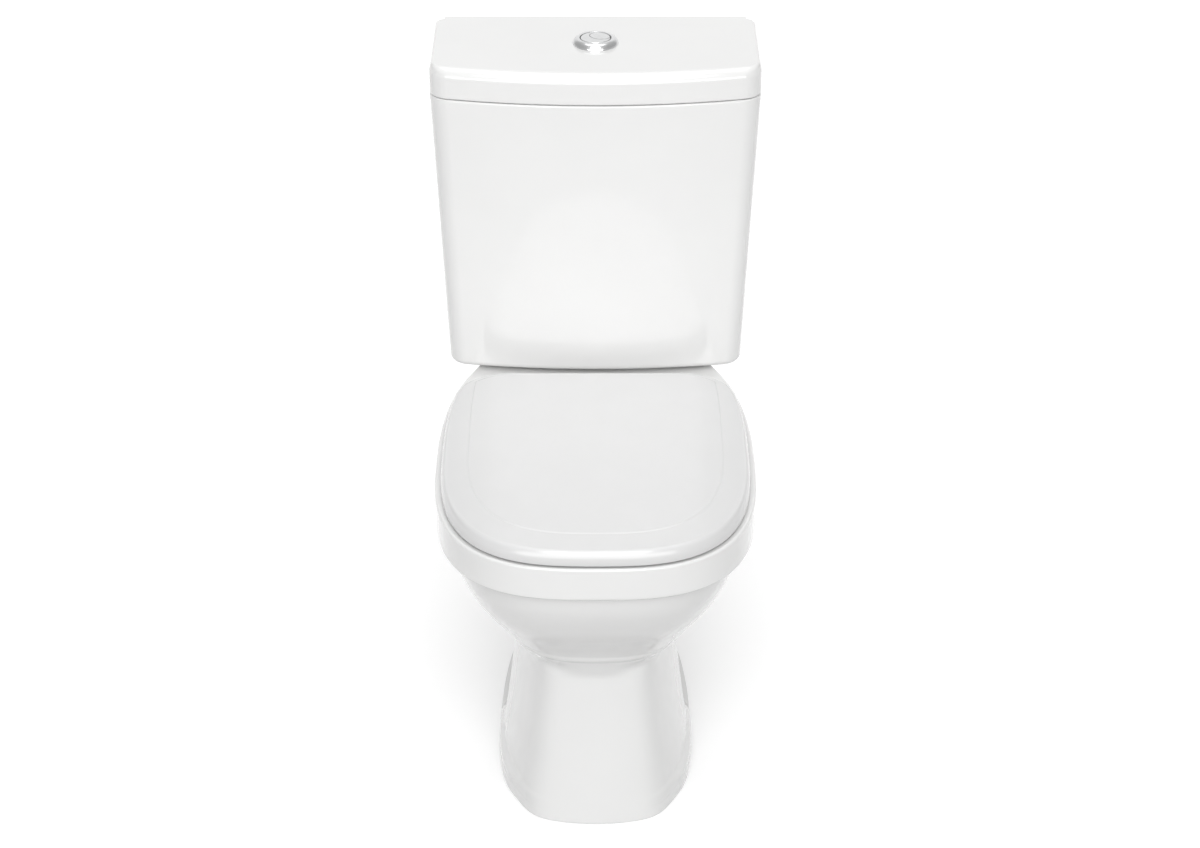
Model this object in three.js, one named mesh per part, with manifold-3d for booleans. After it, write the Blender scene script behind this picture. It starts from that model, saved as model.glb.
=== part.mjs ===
// A close-coupled toilet: a floor-standing pan with the cistern bolted straight onto its rear deck,
// a hinged seat ring with a wrap-over seat lid, and a dual flush button in the cistern lid.
// Millimetres, +Z up, the toilet faces -Y. The origin is on the floor under the middle of the footprint.
import * as THREE from 'three';
import { mergeVertices } from 'three/addons/utils/BufferGeometryUtils.js';
import Module from 'manifold-3d';

const wasm = await Module();
wasm.setup();

// ---------------------------------------------------------------- driving dimensions
const GAP = 0.3; // clearance left between pieces that touch
const FRONT = -321; // the pan's foremost point
const BACK = 321; // the wall plane behind the cistern
const OVAL_POINTS = 32;
const ROUND = 12; // facets of a small round piece

const RIM = { halfWidth: 180.5, front: FRONT, widest: -85, rear: 244, power: 2.9, rearPower: 2.5 };
const RIM_TOP = 400;
const RIM_BOTTOM = 360.5;
const RIM_EDGE = 5; // rounding of the rim's top edge
const DECK = { halfWidth: 118, front: 60, rear: 312, corner: 22 };

// Outer skin of bowl and pedestal, from the floor up: height, half width, front, widest point, rear, power.
const PEDESTAL_SKIN = [
  [0, 106, -223, -45, 92, 2.6],
  [90, 96, -223.5, -45, 90, 2.6],
  [200, 88, -225, -50, 84, 2.6],
  [222, 102, -232, -60, 76, 2.7],
  [250, 121.5, -249, -70, 75, 2.8],
  [290, 144, -284, -80, 76, 2.9],
  [330, 161.5, -306, -85, 78, 2.9],
  [364, 171, -313.5, -85, 80, 2.9],
];
// Inner surface of the bowl, from the sump up.
const BOWL_INSIDE = [
  [148, 30, -92, -50, -12, 2.3],
  [190, 52, -142, -62, 4, 2.4],
  [240, 84, -206, -73, 20, 2.5],
  [300, 120, -259, -82, 40, 2.7],
  [366, 141, -285, -85, 57, 2.8],
];
const BOWL_MOUTH = { halfWidth: 127, front: -271, widest: -85, rear: 44, power: 2.6 };
const BOWL_WALL = 11;
const PEDESTAL_WALL = 12;
const RIM_LIP = 368; // underside of the rim's inward lip

const FOOT = { halfWidth: 115, front: -224, widest: -45, rear: 285, power: 2.6, rearPower: 2.4 };
const FLANGE = { back: 205, corner: 18, top: 14 }; // the foot's flat flange, held down by the floor screws
const TOE = { rear: 60, levels: [[0, 0], [FLANGE.top, 0], [34, 14]] }; // the flare up from it at the front
const BACK_BODY = [[0, 202], [150, 202], [230, 228], [364, 292]]; // height, rear
const BACK_BODY_HALF = 54;
const BACK_BODY_WALL = 11;

// Centre lines in the plane x = 0: start [y, z], heading in degrees, then [length, turn, bend radius] legs.
const TRAP = { inner: 30, outer: 40, steps: 16, facets: 10 };
const TRAP_ROUTE = {
  start: [-60.6, 182.3],
  heading: -60,
  legs: [[35, 125, 44], [65, -115, 44], [34, 50, 50], [90, 0, 0]],
};
const OUTLET = { height: 180, outer: 51, inner: 42, start: 196, end: 300 };
const INLET = { y: 225, recess: 47, seat: 387, passage: 31, passageBottom: 350 };
const FLUSH_WAY = { inner: 23, outer: 33, steps: 6, facets: 10 };
const FLUSH_ROUTE = { start: [INLET.y, 392], heading: -90, legs: [[30, -90, 36], [150, 0, 0]] };

const TANK_TOP = { halfWidth: 191.5, front: 127, bow: 18, rear: BACK, corner: 28, rearCorner: 20 };
const TANK_BOTTOM = { halfWidth: 174, front: 134, bow: 12.5, rear: BACK, corner: 24, rearCorner: 18 };
const TANK = { bottom: 405, floor: 417, top: 747, wall: 9 };
const TANK_FOOT_ROUNDING = [[0, 7], [2, 3.2], [5, 1], [9, 0]]; // height above the base, inset
const COVER = { bottom: 747.3, top: 785, edge: 14, wall: 16, lip: 738, lipInset: 11, ceiling: 776 };

const BUTTON_Y = 230;
const BEZEL = { radius: 26.5, bore: 18.3, thread: 19.5, top: 792.3, bottom: 756 };
const HALF_BUTTON = { radius: 11.8, x: 5.6, y: 5 };
const BUTTON = { radius: 17.9, top: 793, bottom: 779, gap: 0.5 };
const ROD = { radius: 2.5, top: BUTTON.bottom - GAP, bottom: 694, fullX: -9, halfX: 8 };

const VALVE_Y = INLET.y;
const VALVE_BASE = {
  inner: 25.5,
  tail: 29.5,
  flange: 40,
  bottom: 380,
  underFlange: 420.3,
  top: 424,
  lip: 427,
};
const TOWER = { radius: 33, inner: 29, bottom: 424.3, shoulder: 655, head: 22, top: 702 };
const FILL = { x: -142, y: 236, radius: 9, thread: 9.5, flange: 16, bottom: 366, column: 424, top: 700 };
const FLOAT = { inner: 10.5, outer: 29, bottom: 600, height: 60, wall: 2, roof: 4 };
const ARM = {
  x: -160,
  y: 216,
  z: 714,
  length: 41,
  width: 5,
  thick: 4,
  droop: THREE.MathUtils.degToRad(-27.5),
  pivot: 2,
  bore: 2.3,
  eye: 4.2,
  clearance: 2.4, // between the arm's underside and the float's peg
};

const HINGE = { x: 77.5, y: 96, z: 410.5, barrel: 6.5, bore: 3.3, pin: 3, post: 9, lug: 12 };
const HINGE_BASE = { radius: 8.5, top: RIM_TOP + 2.8 };
const SEAT_BOLT = { y: 86.8, radius: 3, bottom: 336, top: 406, hole: 5.5 };
const RING = { halfWidth: 168.5, front: -314, widest: -85, rear: 215, power: 2.9, rearPower: 2.5 };
const RING_HOLE = { halfWidth: 106, front: -252, widest: -100, rear: 26, power: 2.4 };
const RING_Z = [403.5, 415.2];
const RING_BACK = 82; // straight rear edge of the seat ring
const LID = { halfWidth: 173.8, front: -320.5, widest: -85, rear: 236, power: 2.9, rearPower: 2.5 };
const LID_Z = { bottom: 403, ceiling: 417.8, top: 420.6, plateau: 421.9 };
const LID_WALL = 3;
const PLATEAU = { halfWidth: 143, front: -280, widest: -70, rear: 260, power: 2.9, rearPower: 3.2 };
const PLATEAU_BACK = 90;
const LID_ROLL = 10.1; // radius of the lid's rear edge about the hinge axis
const LID_BACK_CORNER = 14;

const SCREW = { x: 74, y: 158 };
const COUPLING_X = 76;
const WING_NUT = { hub: 8, span: 14, thick: 1.8 };

// ---------------------------------------------------------------- solid helpers
const pair = (a, b) => new THREE.Vector2(a, b);

// The closed mesh of a geometry as a manifold solid.
function solid(geometry) {
  const bare = geometry.clone();
  bare.deleteAttribute('normal');
  bare.deleteAttribute('uv');
  const merged = mergeVertices(bare, 1e-4);
  const triangles = [];
  const index = merged.index.array;
  for (let i = 0; i < index.length; i += 3) {
    const [a, b, c] = [index[i], index[i + 1], index[i + 2]];
    if (a !== b && b !== c && a !== c) {
      triangles.push(a, b, c);
    }
  }
  return new wasm.Manifold(new wasm.Mesh({
    numProp: 3,
    vertProperties: new Float32Array(merged.attributes.position.array),
    triVerts: new Uint32Array(triangles),
  }));
}

// The three.js geometry of a manifold solid.
function shape(manifold) {
  const mesh = manifold.getMesh();
  const geometry = new THREE.BufferGeometry();
  geometry.setAttribute('position', new THREE.BufferAttribute(new Float32Array(mesh.vertProperties), 3));
  geometry.setIndex(new THREE.BufferAttribute(new Uint32Array(mesh.triVerts), 1));
  return geometry;
}

const join = (first, ...rest) => rest.reduce((sum, next) => sum.add(next), first);
const cut = (first, ...rest) => rest.reduce((sum, next) => sum.subtract(next), first);

// A closed body through equal-length rings of [x, y, z] points, anticlockwise seen from above, low to high.
function loft(rings) {
  const count = rings[0].length;
  const positions = rings.flat(2);
  const index = [];
  for (let r = 0; r + 1 < rings.length; r++) {
    for (let i = 0; i < count; i++) {
      const j = (i + 1) % count;
      const [a, b, c, d] = [r * count + i, r * count + j, (r + 1) * count + j, (r + 1) * count + i];
      index.push(a, b, c, a, c, d);
    }
  }
  for (const [ring, up] of [[0, false], [rings.length - 1, true]]) {
    const flat = rings[ring].map(([x, y]) => pair(x, y));
    for (const [a, b, c] of THREE.ShapeUtils.triangulateShape(flat, [])) {
      const offset = ring * count;
      index.push(...(up ? [a, b, c] : [a, c, b]).map((k) => k + offset));
    }
  }
  const geometry = new THREE.BufferGeometry();
  geometry.setAttribute('position', new THREE.Float32BufferAttribute(positions, 3));
  geometry.setIndex(index);
  return geometry;
}

const atHeight = (outline, z) => outline.map((p) => [p.x, p.y, z]);
const prism = (outline, low, high) => solid(loft([atHeight(outline, low), atHeight(outline, high)]));

// An upright cylinder or cone between two heights.
function post(x, y, radius, low, high, facets = ROUND, topRadius = radius) {
  const geometry = new THREE.CylinderGeometry(topRadius, radius, high - low, facets);
  geometry.rotateX(Math.PI / 2);
  geometry.translate(x, y, (low + high) / 2);
  return solid(geometry);
}

// A cylinder lying along X, and one lying along Y.
function crossbar(y, z, radius, left, right, facets = ROUND) {
  const geometry = new THREE.CylinderGeometry(radius, radius, right - left, facets);
  geometry.rotateZ(Math.PI / 2);
  geometry.translate((left + right) / 2, y, z);
  return solid(geometry);
}

function spigot(x, z, radius, near, far, facets = 24) {
  const geometry = new THREE.CylinderGeometry(radius, radius, far - near, facets);
  geometry.translate(x, (near + far) / 2, z);
  return solid(geometry);
}

function block(x0, x1, y0, y1, z0, z1) {
  const geometry = new THREE.BoxGeometry(x1 - x0, y1 - y0, z1 - z0);
  geometry.translate((x0 + x1) / 2, (y0 + y1) / 2, (z0 + z1) / 2);
  return solid(geometry);
}

// A body of revolution about an upright axis, from a profile of [radius, height].
function turned(x, y, profile, facets = ROUND) {
  const points = profile.map(([r, z]) => pair(r, z));
  if (profile[0][0] > 0) {
    points.push(pair(...profile[0]));
  }
  const geometry = new THREE.LatheGeometry(points, facets);
  geometry.rotateX(Math.PI / 2);
  geometry.translate(x, y, 0);
  return solid(geometry);
}

// The corner radius of a faceted hole that leaves a round clearance of the given radius.
const clear = (radius, facets = ROUND) => radius / Math.cos(Math.PI / facets);

// The tool that cuts an upright round hole.
const hole = (x, y, radius, low, high, facets = ROUND) =>
  post(x, y, clear(radius, facets), low, high, facets);

// A washer, sleeve or pipe standing upright, with a clear bore.
function ringPost(x, y, inner, outer, low, high, facets = ROUND) {
  const bore = clear(inner, facets);
  return turned(x, y, [[bore, low], [outer, low], [outer, high], [bore, high]], facets);
}

// The centre line of a route, as a curve through points along its straights and bends.
function routeCurve({ start, heading, legs }) {
  let [y, z] = start;
  let angle = THREE.MathUtils.degToRad(heading);
  const points = [new THREE.Vector3(0, y, z)];
  const move = (length, turned) => {
    y += length * Math.cos(turned);
    z += length * Math.sin(turned);
    points.push(new THREE.Vector3(0, y, z));
  };
  for (const [length, turn, radius] of legs) {
    move(length, angle);
    const steps = Math.round(Math.abs(turn) / 20);
    const part = THREE.MathUtils.degToRad(turn) / Math.max(steps, 1);
    for (let i = 0; i < steps; i++) {
      move(2 * radius * Math.sin(Math.abs(part) / 2), angle + part / 2);
      angle += part;
    }
  }
  return new THREE.CatmullRomCurve3(points, false, 'centripetal');
}

// A round bar along a route.
function pipe(route, radius, { steps, facets }) {
  const path = routeCurve(route);
  const circle = new THREE.Shape();
  circle.absarc(0, 0, radius, 0, 2 * Math.PI);
  const curveSegments = facets / 2; // a full circle takes two points for each
  const options = { steps, curveSegments, extrudePath: path, bevelEnabled: false };
  return solid(new THREE.ExtrudeGeometry(circle, options));
}

// ---------------------------------------------------------------- outlines
const bend = (value, power) => Math.sign(value) * Math.abs(value) ** (2 / power);

// A closed oval with its own fullness (power) at the front and at the rear.
function oval({ halfWidth, front, widest, rear, power, rearPower = power }, inset = 0, count = OVAL_POINTS) {
  const points = [];
  for (let i = 0; i < count; i++) {
    const turn = (2 * Math.PI * i) / count;
    const ahead = Math.sin(turn) < 0;
    const reach = (ahead ? widest - front : rear - widest) - inset;
    const n = ahead ? power : rearPower;
    const x = (halfWidth - inset) * bend(Math.cos(turn), n);
    points.push(pair(x, widest + reach * bend(Math.sin(turn), n)));
  }
  return points;
}

// The same oval cut off by a straight rear edge, with a rounded corner at either end of it.
function cutOval(plan, inset, back, corner, count = OVAL_POINTS - 8) {
  const { halfWidth, front, widest, rear, power, rearPower } = plan;
  const reach = rear - widest - inset;
  const turnAt = (y) => Math.asin(((y - widest) / reach) ** (rearPower / 2));
  const edgeX = (y) => (halfWidth - inset) * bend(Math.cos(turnAt(y)), rearPower);
  const last = turnAt(back - corner);
  const points = [];
  for (let i = 0; i <= count; i++) {
    const turn = Math.PI - last + ((Math.PI + 2 * last) * i) / count;
    const ahead = Math.sin(turn) < 0;
    const n = ahead ? power : rearPower;
    const run = ahead ? widest - front - inset : reach;
    const x = (halfWidth - inset) * bend(Math.cos(turn), n);
    points.push(pair(x, widest + run * bend(Math.sin(turn), n)));
  }
  const [side, tip] = [edgeX(back - corner), edgeX(back)];
  const round = [0.3, 0.6, 1].map((t) => pair(
    (1 - t) ** 2 * side + 2 * t * (1 - t) * tip + t * t * (tip - corner),
    back - corner * (1 - t) ** 2,
  ));
  points.push(...round);
  points.push(...round.reverse().map((p) => pair(-p.x, p.y)));
  return points;
}

const skinOval = ([, halfWidth, front, widest, rear, power], inset = 0) =>
  oval({ halfWidth, front, widest, rear, power }, inset);
const skinLoft = (sections, inset = 0) =>
  solid(loft(sections.map((section) => atHeight(skinOval(section, inset), section[0]))));
// A body through [height, inset] levels of an oval.
const levelLoft = (plan, levels) => solid(loft(levels.map(([z, inset]) => atHeight(oval(plan, inset), z))));

function arc(points, x, y, radius, from, to, steps) {
  for (let i = 0; i <= steps; i++) {
    const turn = from + ((to - from) * i) / steps;
    points.push(pair(x + radius * Math.cos(turn), y + radius * Math.sin(turn)));
  }
}

// A rounded rectangle, symmetric about x = 0.
function slabOutline({ halfWidth, front, rear, corner }, inset = 0, steps = 2) {
  const [w, f, b, r] = [halfWidth - inset - corner, front + inset + corner, rear - inset - corner, corner];
  const points = [];
  arc(points, w, f, r, -Math.PI / 2, 0, steps);
  arc(points, w, b, r, 0, Math.PI / 2, steps);
  arc(points, -w, b, r, Math.PI / 2, Math.PI, steps);
  arc(points, -w, f, r, Math.PI, 1.5 * Math.PI, steps);
  return points;
}

// The cistern's plan: a flat back, rounded corners and a front that bows towards the user.
function tankOutline({ halfWidth, front, bow, rear, corner, rearCorner }, inset = 0) {
  const half = halfWidth - inset;
  const r = Math.max(corner - inset, 3);
  const rearR = Math.max(rearCorner - inset, 3);
  const reach = half - r;
  const tilt = Math.atan((2 * bow) / reach);
  const edge = reach + r * Math.sin(tilt);
  const bowed = (x) => front + inset + bow * (x / reach) ** 2;
  const centreY = bowed(edge) + r * Math.cos(tilt);
  const bowSteps = 10;
  const points = [];
  for (let i = 1; i < bowSteps; i++) {
    const x = -edge + (2 * edge * i) / bowSteps;
    points.push(pair(x, bowed(x)));
  }
  arc(points, reach, centreY, r, tilt - Math.PI / 2, 0, 6);
  arc(points, half - rearR, rear - inset - rearR, rearR, 0, Math.PI / 2, 4);
  arc(points, rearR - half, rear - inset - rearR, rearR, Math.PI / 2, Math.PI, 4);
  arc(points, -reach, centreY, r, Math.PI, 1.5 * Math.PI - tilt, 6);
  return points;
}

// The cistern's plan at a height, between its base and its top.
function tankAt(z, inset = 0) {
  const t = (z - TANK.bottom) / (TANK.top - TANK.bottom);
  const plan = {};
  for (const key of Object.keys(TANK_TOP)) {
    plan[key] = THREE.MathUtils.lerp(TANK_BOTTOM[key], TANK_TOP[key], t);
  }
  return atHeight(tankOutline(plan, inset), z);
}

// ---------------------------------------------------------------- pan
function rimAndDeck() {
  const rim = levelLoft(RIM, [
    [RIM_BOTTOM, 2],
    [RIM_BOTTOM + 3, 0],
    [RIM_TOP - RIM_EDGE, 0],
    [RIM_TOP - 0.3 * RIM_EDGE, 0.3 * RIM_EDGE],
    [RIM_TOP, RIM_EDGE],
  ]);
  return join(rim, prism(slabOutline(DECK, 0, 4), RIM_BOTTOM, RIM_TOP));
}

function foot() {
  const toe = levelLoft({ ...FOOT, rear: TOE.rear }, TOE.levels);
  return join(toe, prism(cutOval(FOOT, 0, FLANGE.back, FLANGE.corner), 0, FLANGE.top));
}

function backBody(inset, low, rearInset) {
  const rings = BACK_BODY.map(([z, rear]) => {
    const plan = { halfWidth: BACK_BODY_HALF, front: 30, rear: rear + rearInset, corner: 10 };
    return atHeight(slabOutline(plan, inset), Math.max(z, low));
  });
  return solid(loft(rings));
}

function trapSkin() {
  const spout = spigot(0, OUTLET.height, OUTLET.outer, OUTLET.start, OUTLET.end);
  return join(pipe(TRAP_ROUTE, TRAP.outer, TRAP), spout);
}

function bowlSkin() {
  const [[sump, ...plan], ...rest] = BOWL_INSIDE;
  return skinLoft([[sump - BOWL_WALL, ...plan], ...rest], -BOWL_WALL);
}

// The hollow of the pedestal, open to the floor, round the bowl and the trapway.
function underside() {
  const levels = PEDESTAL_SKIN.filter(([z]) => z <= 250);
  const [[, ...floorPlan], ...rest] = levels;
  const front = skinLoft([[-1, ...floorPlan], ...rest], PEDESTAL_WALL);
  const back = backBody(BACK_BODY_WALL, FLANGE.top + 4, 40);
  return cut(join(front, back), bowlSkin(), trapSkin(), pipe(FLUSH_ROUTE, FLUSH_WAY.outer, FLUSH_WAY));
}

function pan() {
  const outside = join(rimAndDeck(), skinLoft(PEDESTAL_SKIN), foot(), backBody(0, 0, 0));
  const ceramic = join(cut(outside, underside()), trapSkin());
  const mouth = prism(oval(BOWL_MOUTH), RIM_LIP - 6, RIM_TOP + 1);
  const outlet = spigot(0, OUTLET.height, OUTLET.inner, OUTLET.start + 10, OUTLET.end + 1);
  const holes = [
    hole(0, INLET.y, INLET.recess, INLET.seat, RIM_TOP + 1, 24),
    hole(0, INLET.y, INLET.passage, INLET.passageBottom, INLET.seat + 1, 16),
  ];
  for (const side of [-1, 1]) {
    holes.push(hole(side * HINGE.x, SEAT_BOLT.y, SEAT_BOLT.hole, RIM_BOTTOM - 6, RIM_TOP + 1, 8));
    holes.push(hole(side * COUPLING_X, VALVE_Y, 6, RIM_BOTTOM - 6, RIM_TOP + 1, 8));
    holes.push(hole(side * SCREW.x, SCREW.y, 7, -1, FLANGE.top + 1, 8));
  }
  return cut(
    ceramic,
    skinLoft(BOWL_INSIDE),
    mouth,
    pipe(TRAP_ROUTE, TRAP.inner, TRAP),
    outlet,
    pipe(FLUSH_ROUTE, FLUSH_WAY.inner, FLUSH_WAY),
    ...holes,
  );
}

// ---------------------------------------------------------------- cistern and its lid
function cistern() {
  const outer = TANK_FOOT_ROUNDING.map(([rise, inset]) => tankAt(TANK.bottom + rise, inset));
  outer.push(tankAt(TANK.top));
  const inner = [
    tankAt(TANK.floor, TANK.wall + 8),
    tankAt(TANK.floor + 8, TANK.wall),
    tankAt(TANK.top + 1, TANK.wall),
  ];
  const holes = [
    hole(0, VALVE_Y, 31, TANK.bottom - 1, TANK.floor + 1, 24),
    hole(FILL.x, FILL.y, 10.5, TANK.bottom - 1, TANK.floor + 9),
    hole(COUPLING_X, VALVE_Y, 6, TANK.bottom - 1, TANK.floor + 1),
    hole(-COUPLING_X, VALVE_Y, 6, TANK.bottom - 1, TANK.floor + 1),
  ];
  return cut(solid(loft(outer)), solid(loft(inner)), ...holes);
}

function cisternLid() {
  const plan = (inset, z) => atHeight(tankOutline(TANK_TOP, inset), z);
  const rings = [plan(0, COVER.bottom), plan(0, COVER.top - COVER.edge)];
  for (const turn of [22.5, 45, 67.5, 90].map(THREE.MathUtils.degToRad)) {
    rings.push(plan(COVER.edge * (1 - Math.cos(turn)), COVER.top - COVER.edge * (1 - Math.sin(turn))));
  }
  const lip = prism(tankOutline(TANK_TOP, COVER.lipInset), COVER.lip, COVER.bottom + 1);
  const hollow = prism(tankOutline(TANK_TOP, COVER.wall), COVER.lip - 1, COVER.ceiling);
  const buttonHole = hole(0, BUTTON_Y, 20, COVER.ceiling - 1, COVER.top + 1, 24);
  return cut(join(solid(loft(rings)), lip), hollow, buttonHole);
}

// ---------------------------------------------------------------- flush buttons
function buttonBezel() {
  const { radius, bore, thread, top, bottom } = BEZEL;
  const ring = turned(0, BUTTON_Y, [
    [bore, bottom], [thread, bottom], [thread, COVER.top + GAP], [radius, COVER.top + GAP],
    [radius - 0.6, COVER.top + 3], [radius - 2.6, top - 1.2], [radius - 5, top], [bore + 0.5, top],
    [bore, top - 0.8],
  ], 32);
  const guide = post(0, BUTTON_Y, thread, bottom - 3, bottom + 1, 32);
  const rods = [ROD.fullX, ROD.halfX].map((x) => hole(x, BUTTON_Y, ROD.radius + 0.6, bottom - 4, bottom + 2));
  return cut(join(ring, guide), ...rods);
}

const buttonDisc = (radius, x = 0, y = 0) => post(x, BUTTON_Y + y, radius, BUTTON.bottom, BUTTON.top, 28);
const halfDisc = (radius) => buttonDisc(radius, HALF_BUTTON.x, HALF_BUTTON.y);
const halfButton = () => buttonDisc(BUTTON.radius).intersect(halfDisc(HALF_BUTTON.radius));
const fullButton = () => cut(buttonDisc(BUTTON.radius), halfDisc(HALF_BUTTON.radius + BUTTON.gap));
const pushRod = (x) => post(x, BUTTON_Y, ROD.radius, ROD.bottom, ROD.top, 12);

function nut(x, y, inner, outer, low, high, sides = 6) {
  return cut(post(x, y, outer, low, high, sides), hole(x, y, inner, low - 1, high + 1, 24));
}

// ---------------------------------------------------------------- flush valve
function valveBase() {
  const { inner, tail, flange, bottom, underFlange, top, lip } = VALVE_BASE;
  const seat = inner - 3;
  return turned(0, VALVE_Y, [
    [inner, bottom], [tail, bottom], [tail, underFlange], [flange, underFlange], [flange, top], [inner, top],
    [inner, lip], [seat, lip], [seat, lip - 7], [inner, lip - 12],
  ], 24);
}

function valveTower() {
  const { radius, inner, bottom, shoulder, head, top } = TOWER;
  const body = turned(0, VALVE_Y, [
    [inner, bottom], [radius, bottom], [radius, shoulder], [head, shoulder + 12], [head, top], [0, top],
    [0, top - 22], [head - 4, top - 22], [head - 4, shoulder + 12], [inner, shoulder],
  ], 24);
  const [wide, narrow, sill, lintel] = [40, 12, bottom + 9.7, bottom + 41.7];
  const windows = [
    block(-wide, wide, VALVE_Y - narrow, VALVE_Y + narrow, sill, lintel),
    block(-narrow, narrow, VALVE_Y - wide, VALVE_Y + wide, sill, lintel),
  ];
  const sockets = [ROD.fullX, ROD.halfX].map((x) => hole(x, BUTTON_Y, ROD.radius + 0.8, top - 23, top + 1));
  return cut(body, ...windows, ...sockets);
}

// ---------------------------------------------------------------- fill valve
function fillBody() {
  const { x, y, radius, thread, flange, bottom, column, top } = FILL;
  return join(
    post(x, y, thread, bottom, column - 3, 20),
    post(x, y, flange, column - 3.7, column, 20),
    post(x, y, radius, column - 1, top, 20),
  );
}

function fillHead() {
  const { x, y, top } = FILL;
  const cap = turned(x, y, [[0, top + GAP], [15, top + GAP], [15, top + 24], [12, top + 28], [0, top + 28]]);
  const pivot = new THREE.CylinderGeometry(ARM.pivot, ARM.pivot, 14, 12);
  pivot.translate(ARM.x, ARM.y + 7, ARM.z);
  const armBack = ARM.y + ARM.width / 2;
  const bracket = block(ARM.x - 3, x, armBack + 1, armBack + 5, ARM.z - 3, ARM.z + 3);
  return join(cap, bracket, solid(pivot));
}

function floatCup() {
  const { inner, outer, bottom, height, wall, roof } = FLOAT;
  const top = bottom + height;
  const cup = turned(FILL.x, FILL.y, [
    [inner, bottom], [inner + wall, bottom], [inner + wall, top - roof], [outer - wall, top - roof],
    [outer - wall, bottom], [outer, bottom], [outer, top - 3], [outer - 3, top], [inner, top],
  ]);
  const reach = ARM.length * Math.cos(ARM.droop) - 4;
  const tip = ARM.z + reach * Math.tan(ARM.droop) - ARM.thick / 2 - ARM.clearance;
  return join(cup, post(ARM.x + reach, ARM.y + 1, 2, top - 2, tip, 12));
}

function floatArm() {
  const geometry = new THREE.BoxGeometry(ARM.length + 4, ARM.width, ARM.thick);
  geometry.translate(ARM.length / 2 - 1, 0, 0);
  const eye = new THREE.CylinderGeometry(ARM.eye, ARM.eye, ARM.width, 16);
  const bore = new THREE.CylinderGeometry(ARM.bore, ARM.bore, ARM.width + 2, 16);
  return cut(join(solid(geometry), solid(eye)), solid(bore));
}

// ---------------------------------------------------------------- seat
// A post stands on its bolt in front of the hinge axis, so that the lid's rolled edge swings clear behind it.
function hingePost(x) {
  const half = HINGE.post;
  const base = post(x, SEAT_BOLT.y, HINGE_BASE.radius, RIM_TOP + GAP, HINGE_BASE.top, 16);
  const neck = block(x - half, x + half, RING_BACK + 0.5, HINGE.y - 1, HINGE_BASE.top - 0.4, HINGE.z);
  const barrel = crossbar(HINGE.y, HINGE.z, HINGE.barrel, x - half, x + half);
  const bore = crossbar(HINGE.y, HINGE.z, HINGE.bore, x - half - 1, x + half + 1, 16);
  const socket = hole(x, SEAT_BOLT.y, SEAT_BOLT.radius + GAP, RIM_TOP, SEAT_BOLT.top + GAP);
  return cut(join(base, neck, barrel), bore, socket);
}

// A knuckle of the ring or the lid round the hinge pin, from its plate back to the axis.
function lug(left, right, plateEnd, low, high) {
  return join(
    crossbar(HINGE.y, HINGE.z, HINGE.barrel, left, right),
    block(left, right, plateEnd, HINGE.y - 2, low, high),
  );
}

const lugSpan = (side, near) => (side < 0 ? [-near - HINGE.lug, -near] : [near, near + HINGE.lug]);
const PIN_INNER = HINGE.x - HINGE.post - 1 - HINGE.lug;
const PIN_OUTER = HINGE.x + HINGE.post + 1 + HINGE.lug;
const hingeBore = () => crossbar(HINGE.y, HINGE.z, HINGE.bore, -130, 130, 16);

// A plate through [height, inset] levels of a cut-off oval.
const plate = (plan, back, corner, levels) => solid(loft(levels.map(([z, inset]) => {
  const outline = cutOval(plan, inset, back - Math.min(inset, 4), corner);
  return atHeight(outline, z);
})));

function seatRing() {
  const [low, high] = RING_Z;
  const body = plate(RING, RING_BACK, 16, [[low, 2], [low + 3, 0], [high - 4, 0], [high, 4]]);
  const opening = levelLoft(RING_HOLE, [[low - 1, -3], [low + 3, 0], [high - 4, 0], [high + 1, -5]]);
  const near = HINGE.x + HINGE.post + 1;
  const lugs = [-1, 1].map((side) => lug(...lugSpan(side, near), RING_BACK - 4, low + 1.5, high - 0.2));
  return cut(join(cut(body, opening), ...lugs), hingeBore());
}

// The lid's rear edge rolls down round the hinge axis, so that it clears the pan's deck as it opens.
function seatLid() {
  const { bottom, ceiling, top, plateau } = LID_Z;
  const back = HINGE.y + LID_ROLL;
  const outside = join(
    plate(LID, back, LID_BACK_CORNER, [[bottom, 0], [top - 4, 0], [top - 1.2, 1.2], [top, 4]]),
    plate(PLATEAU, PLATEAU_BACK, 10, [[top - 1, 0], [top, 0], [plateau, 3]]),
  );
  const behind = block(-200, 200, HINGE.y, back + 10, bottom - 5, plateau + 5);
  const roll = crossbar(HINGE.y, HINGE.z, LID_ROLL, -200, 200, 24);
  const rolled = join(cut(outside, behind), outside.intersect(behind).intersect(roll));
  const hollow = prism(cutOval(LID, LID_WALL, HINGE.y, 8), bottom - 1, ceiling);
  const hingeHalf = PIN_OUTER + 4;
  const hingeSpace = crossbar(HINGE.y, HINGE.z, LID_ROLL - LID_WALL + 0.4, -hingeHalf, hingeHalf, 24);
  const under = block(-hingeHalf, hingeHalf, HINGE.y - 8, back + 1, bottom - 5, HINGE.z);
  const lugs = [-1, 1].map((side) => lug(...lugSpan(side, PIN_INNER), RING_BACK + 3, 410, ceiling + 1));
  return cut(join(cut(rolled, hollow, hingeSpace, under), ...lugs), hingeBore());
}

// ---------------------------------------------------------------- fasteners
function wingNut(x, y, inner, low, high) {
  const { hub, span, thick } = WING_NUT;
  const wings = block(x - span, x + span, y - thick, y + thick, low, high - 3);
  return cut(join(post(x, y, hub, low, high), wings), hole(x, y, inner, low - 1, high + 1));
}

const couplingBolt = (x) => join(
  post(x, VALVE_Y, 4, 338, 421, 16),
  post(x, VALVE_Y, 9, TANK.floor + 3.5, TANK.floor + 8.5, 6),
);

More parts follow.
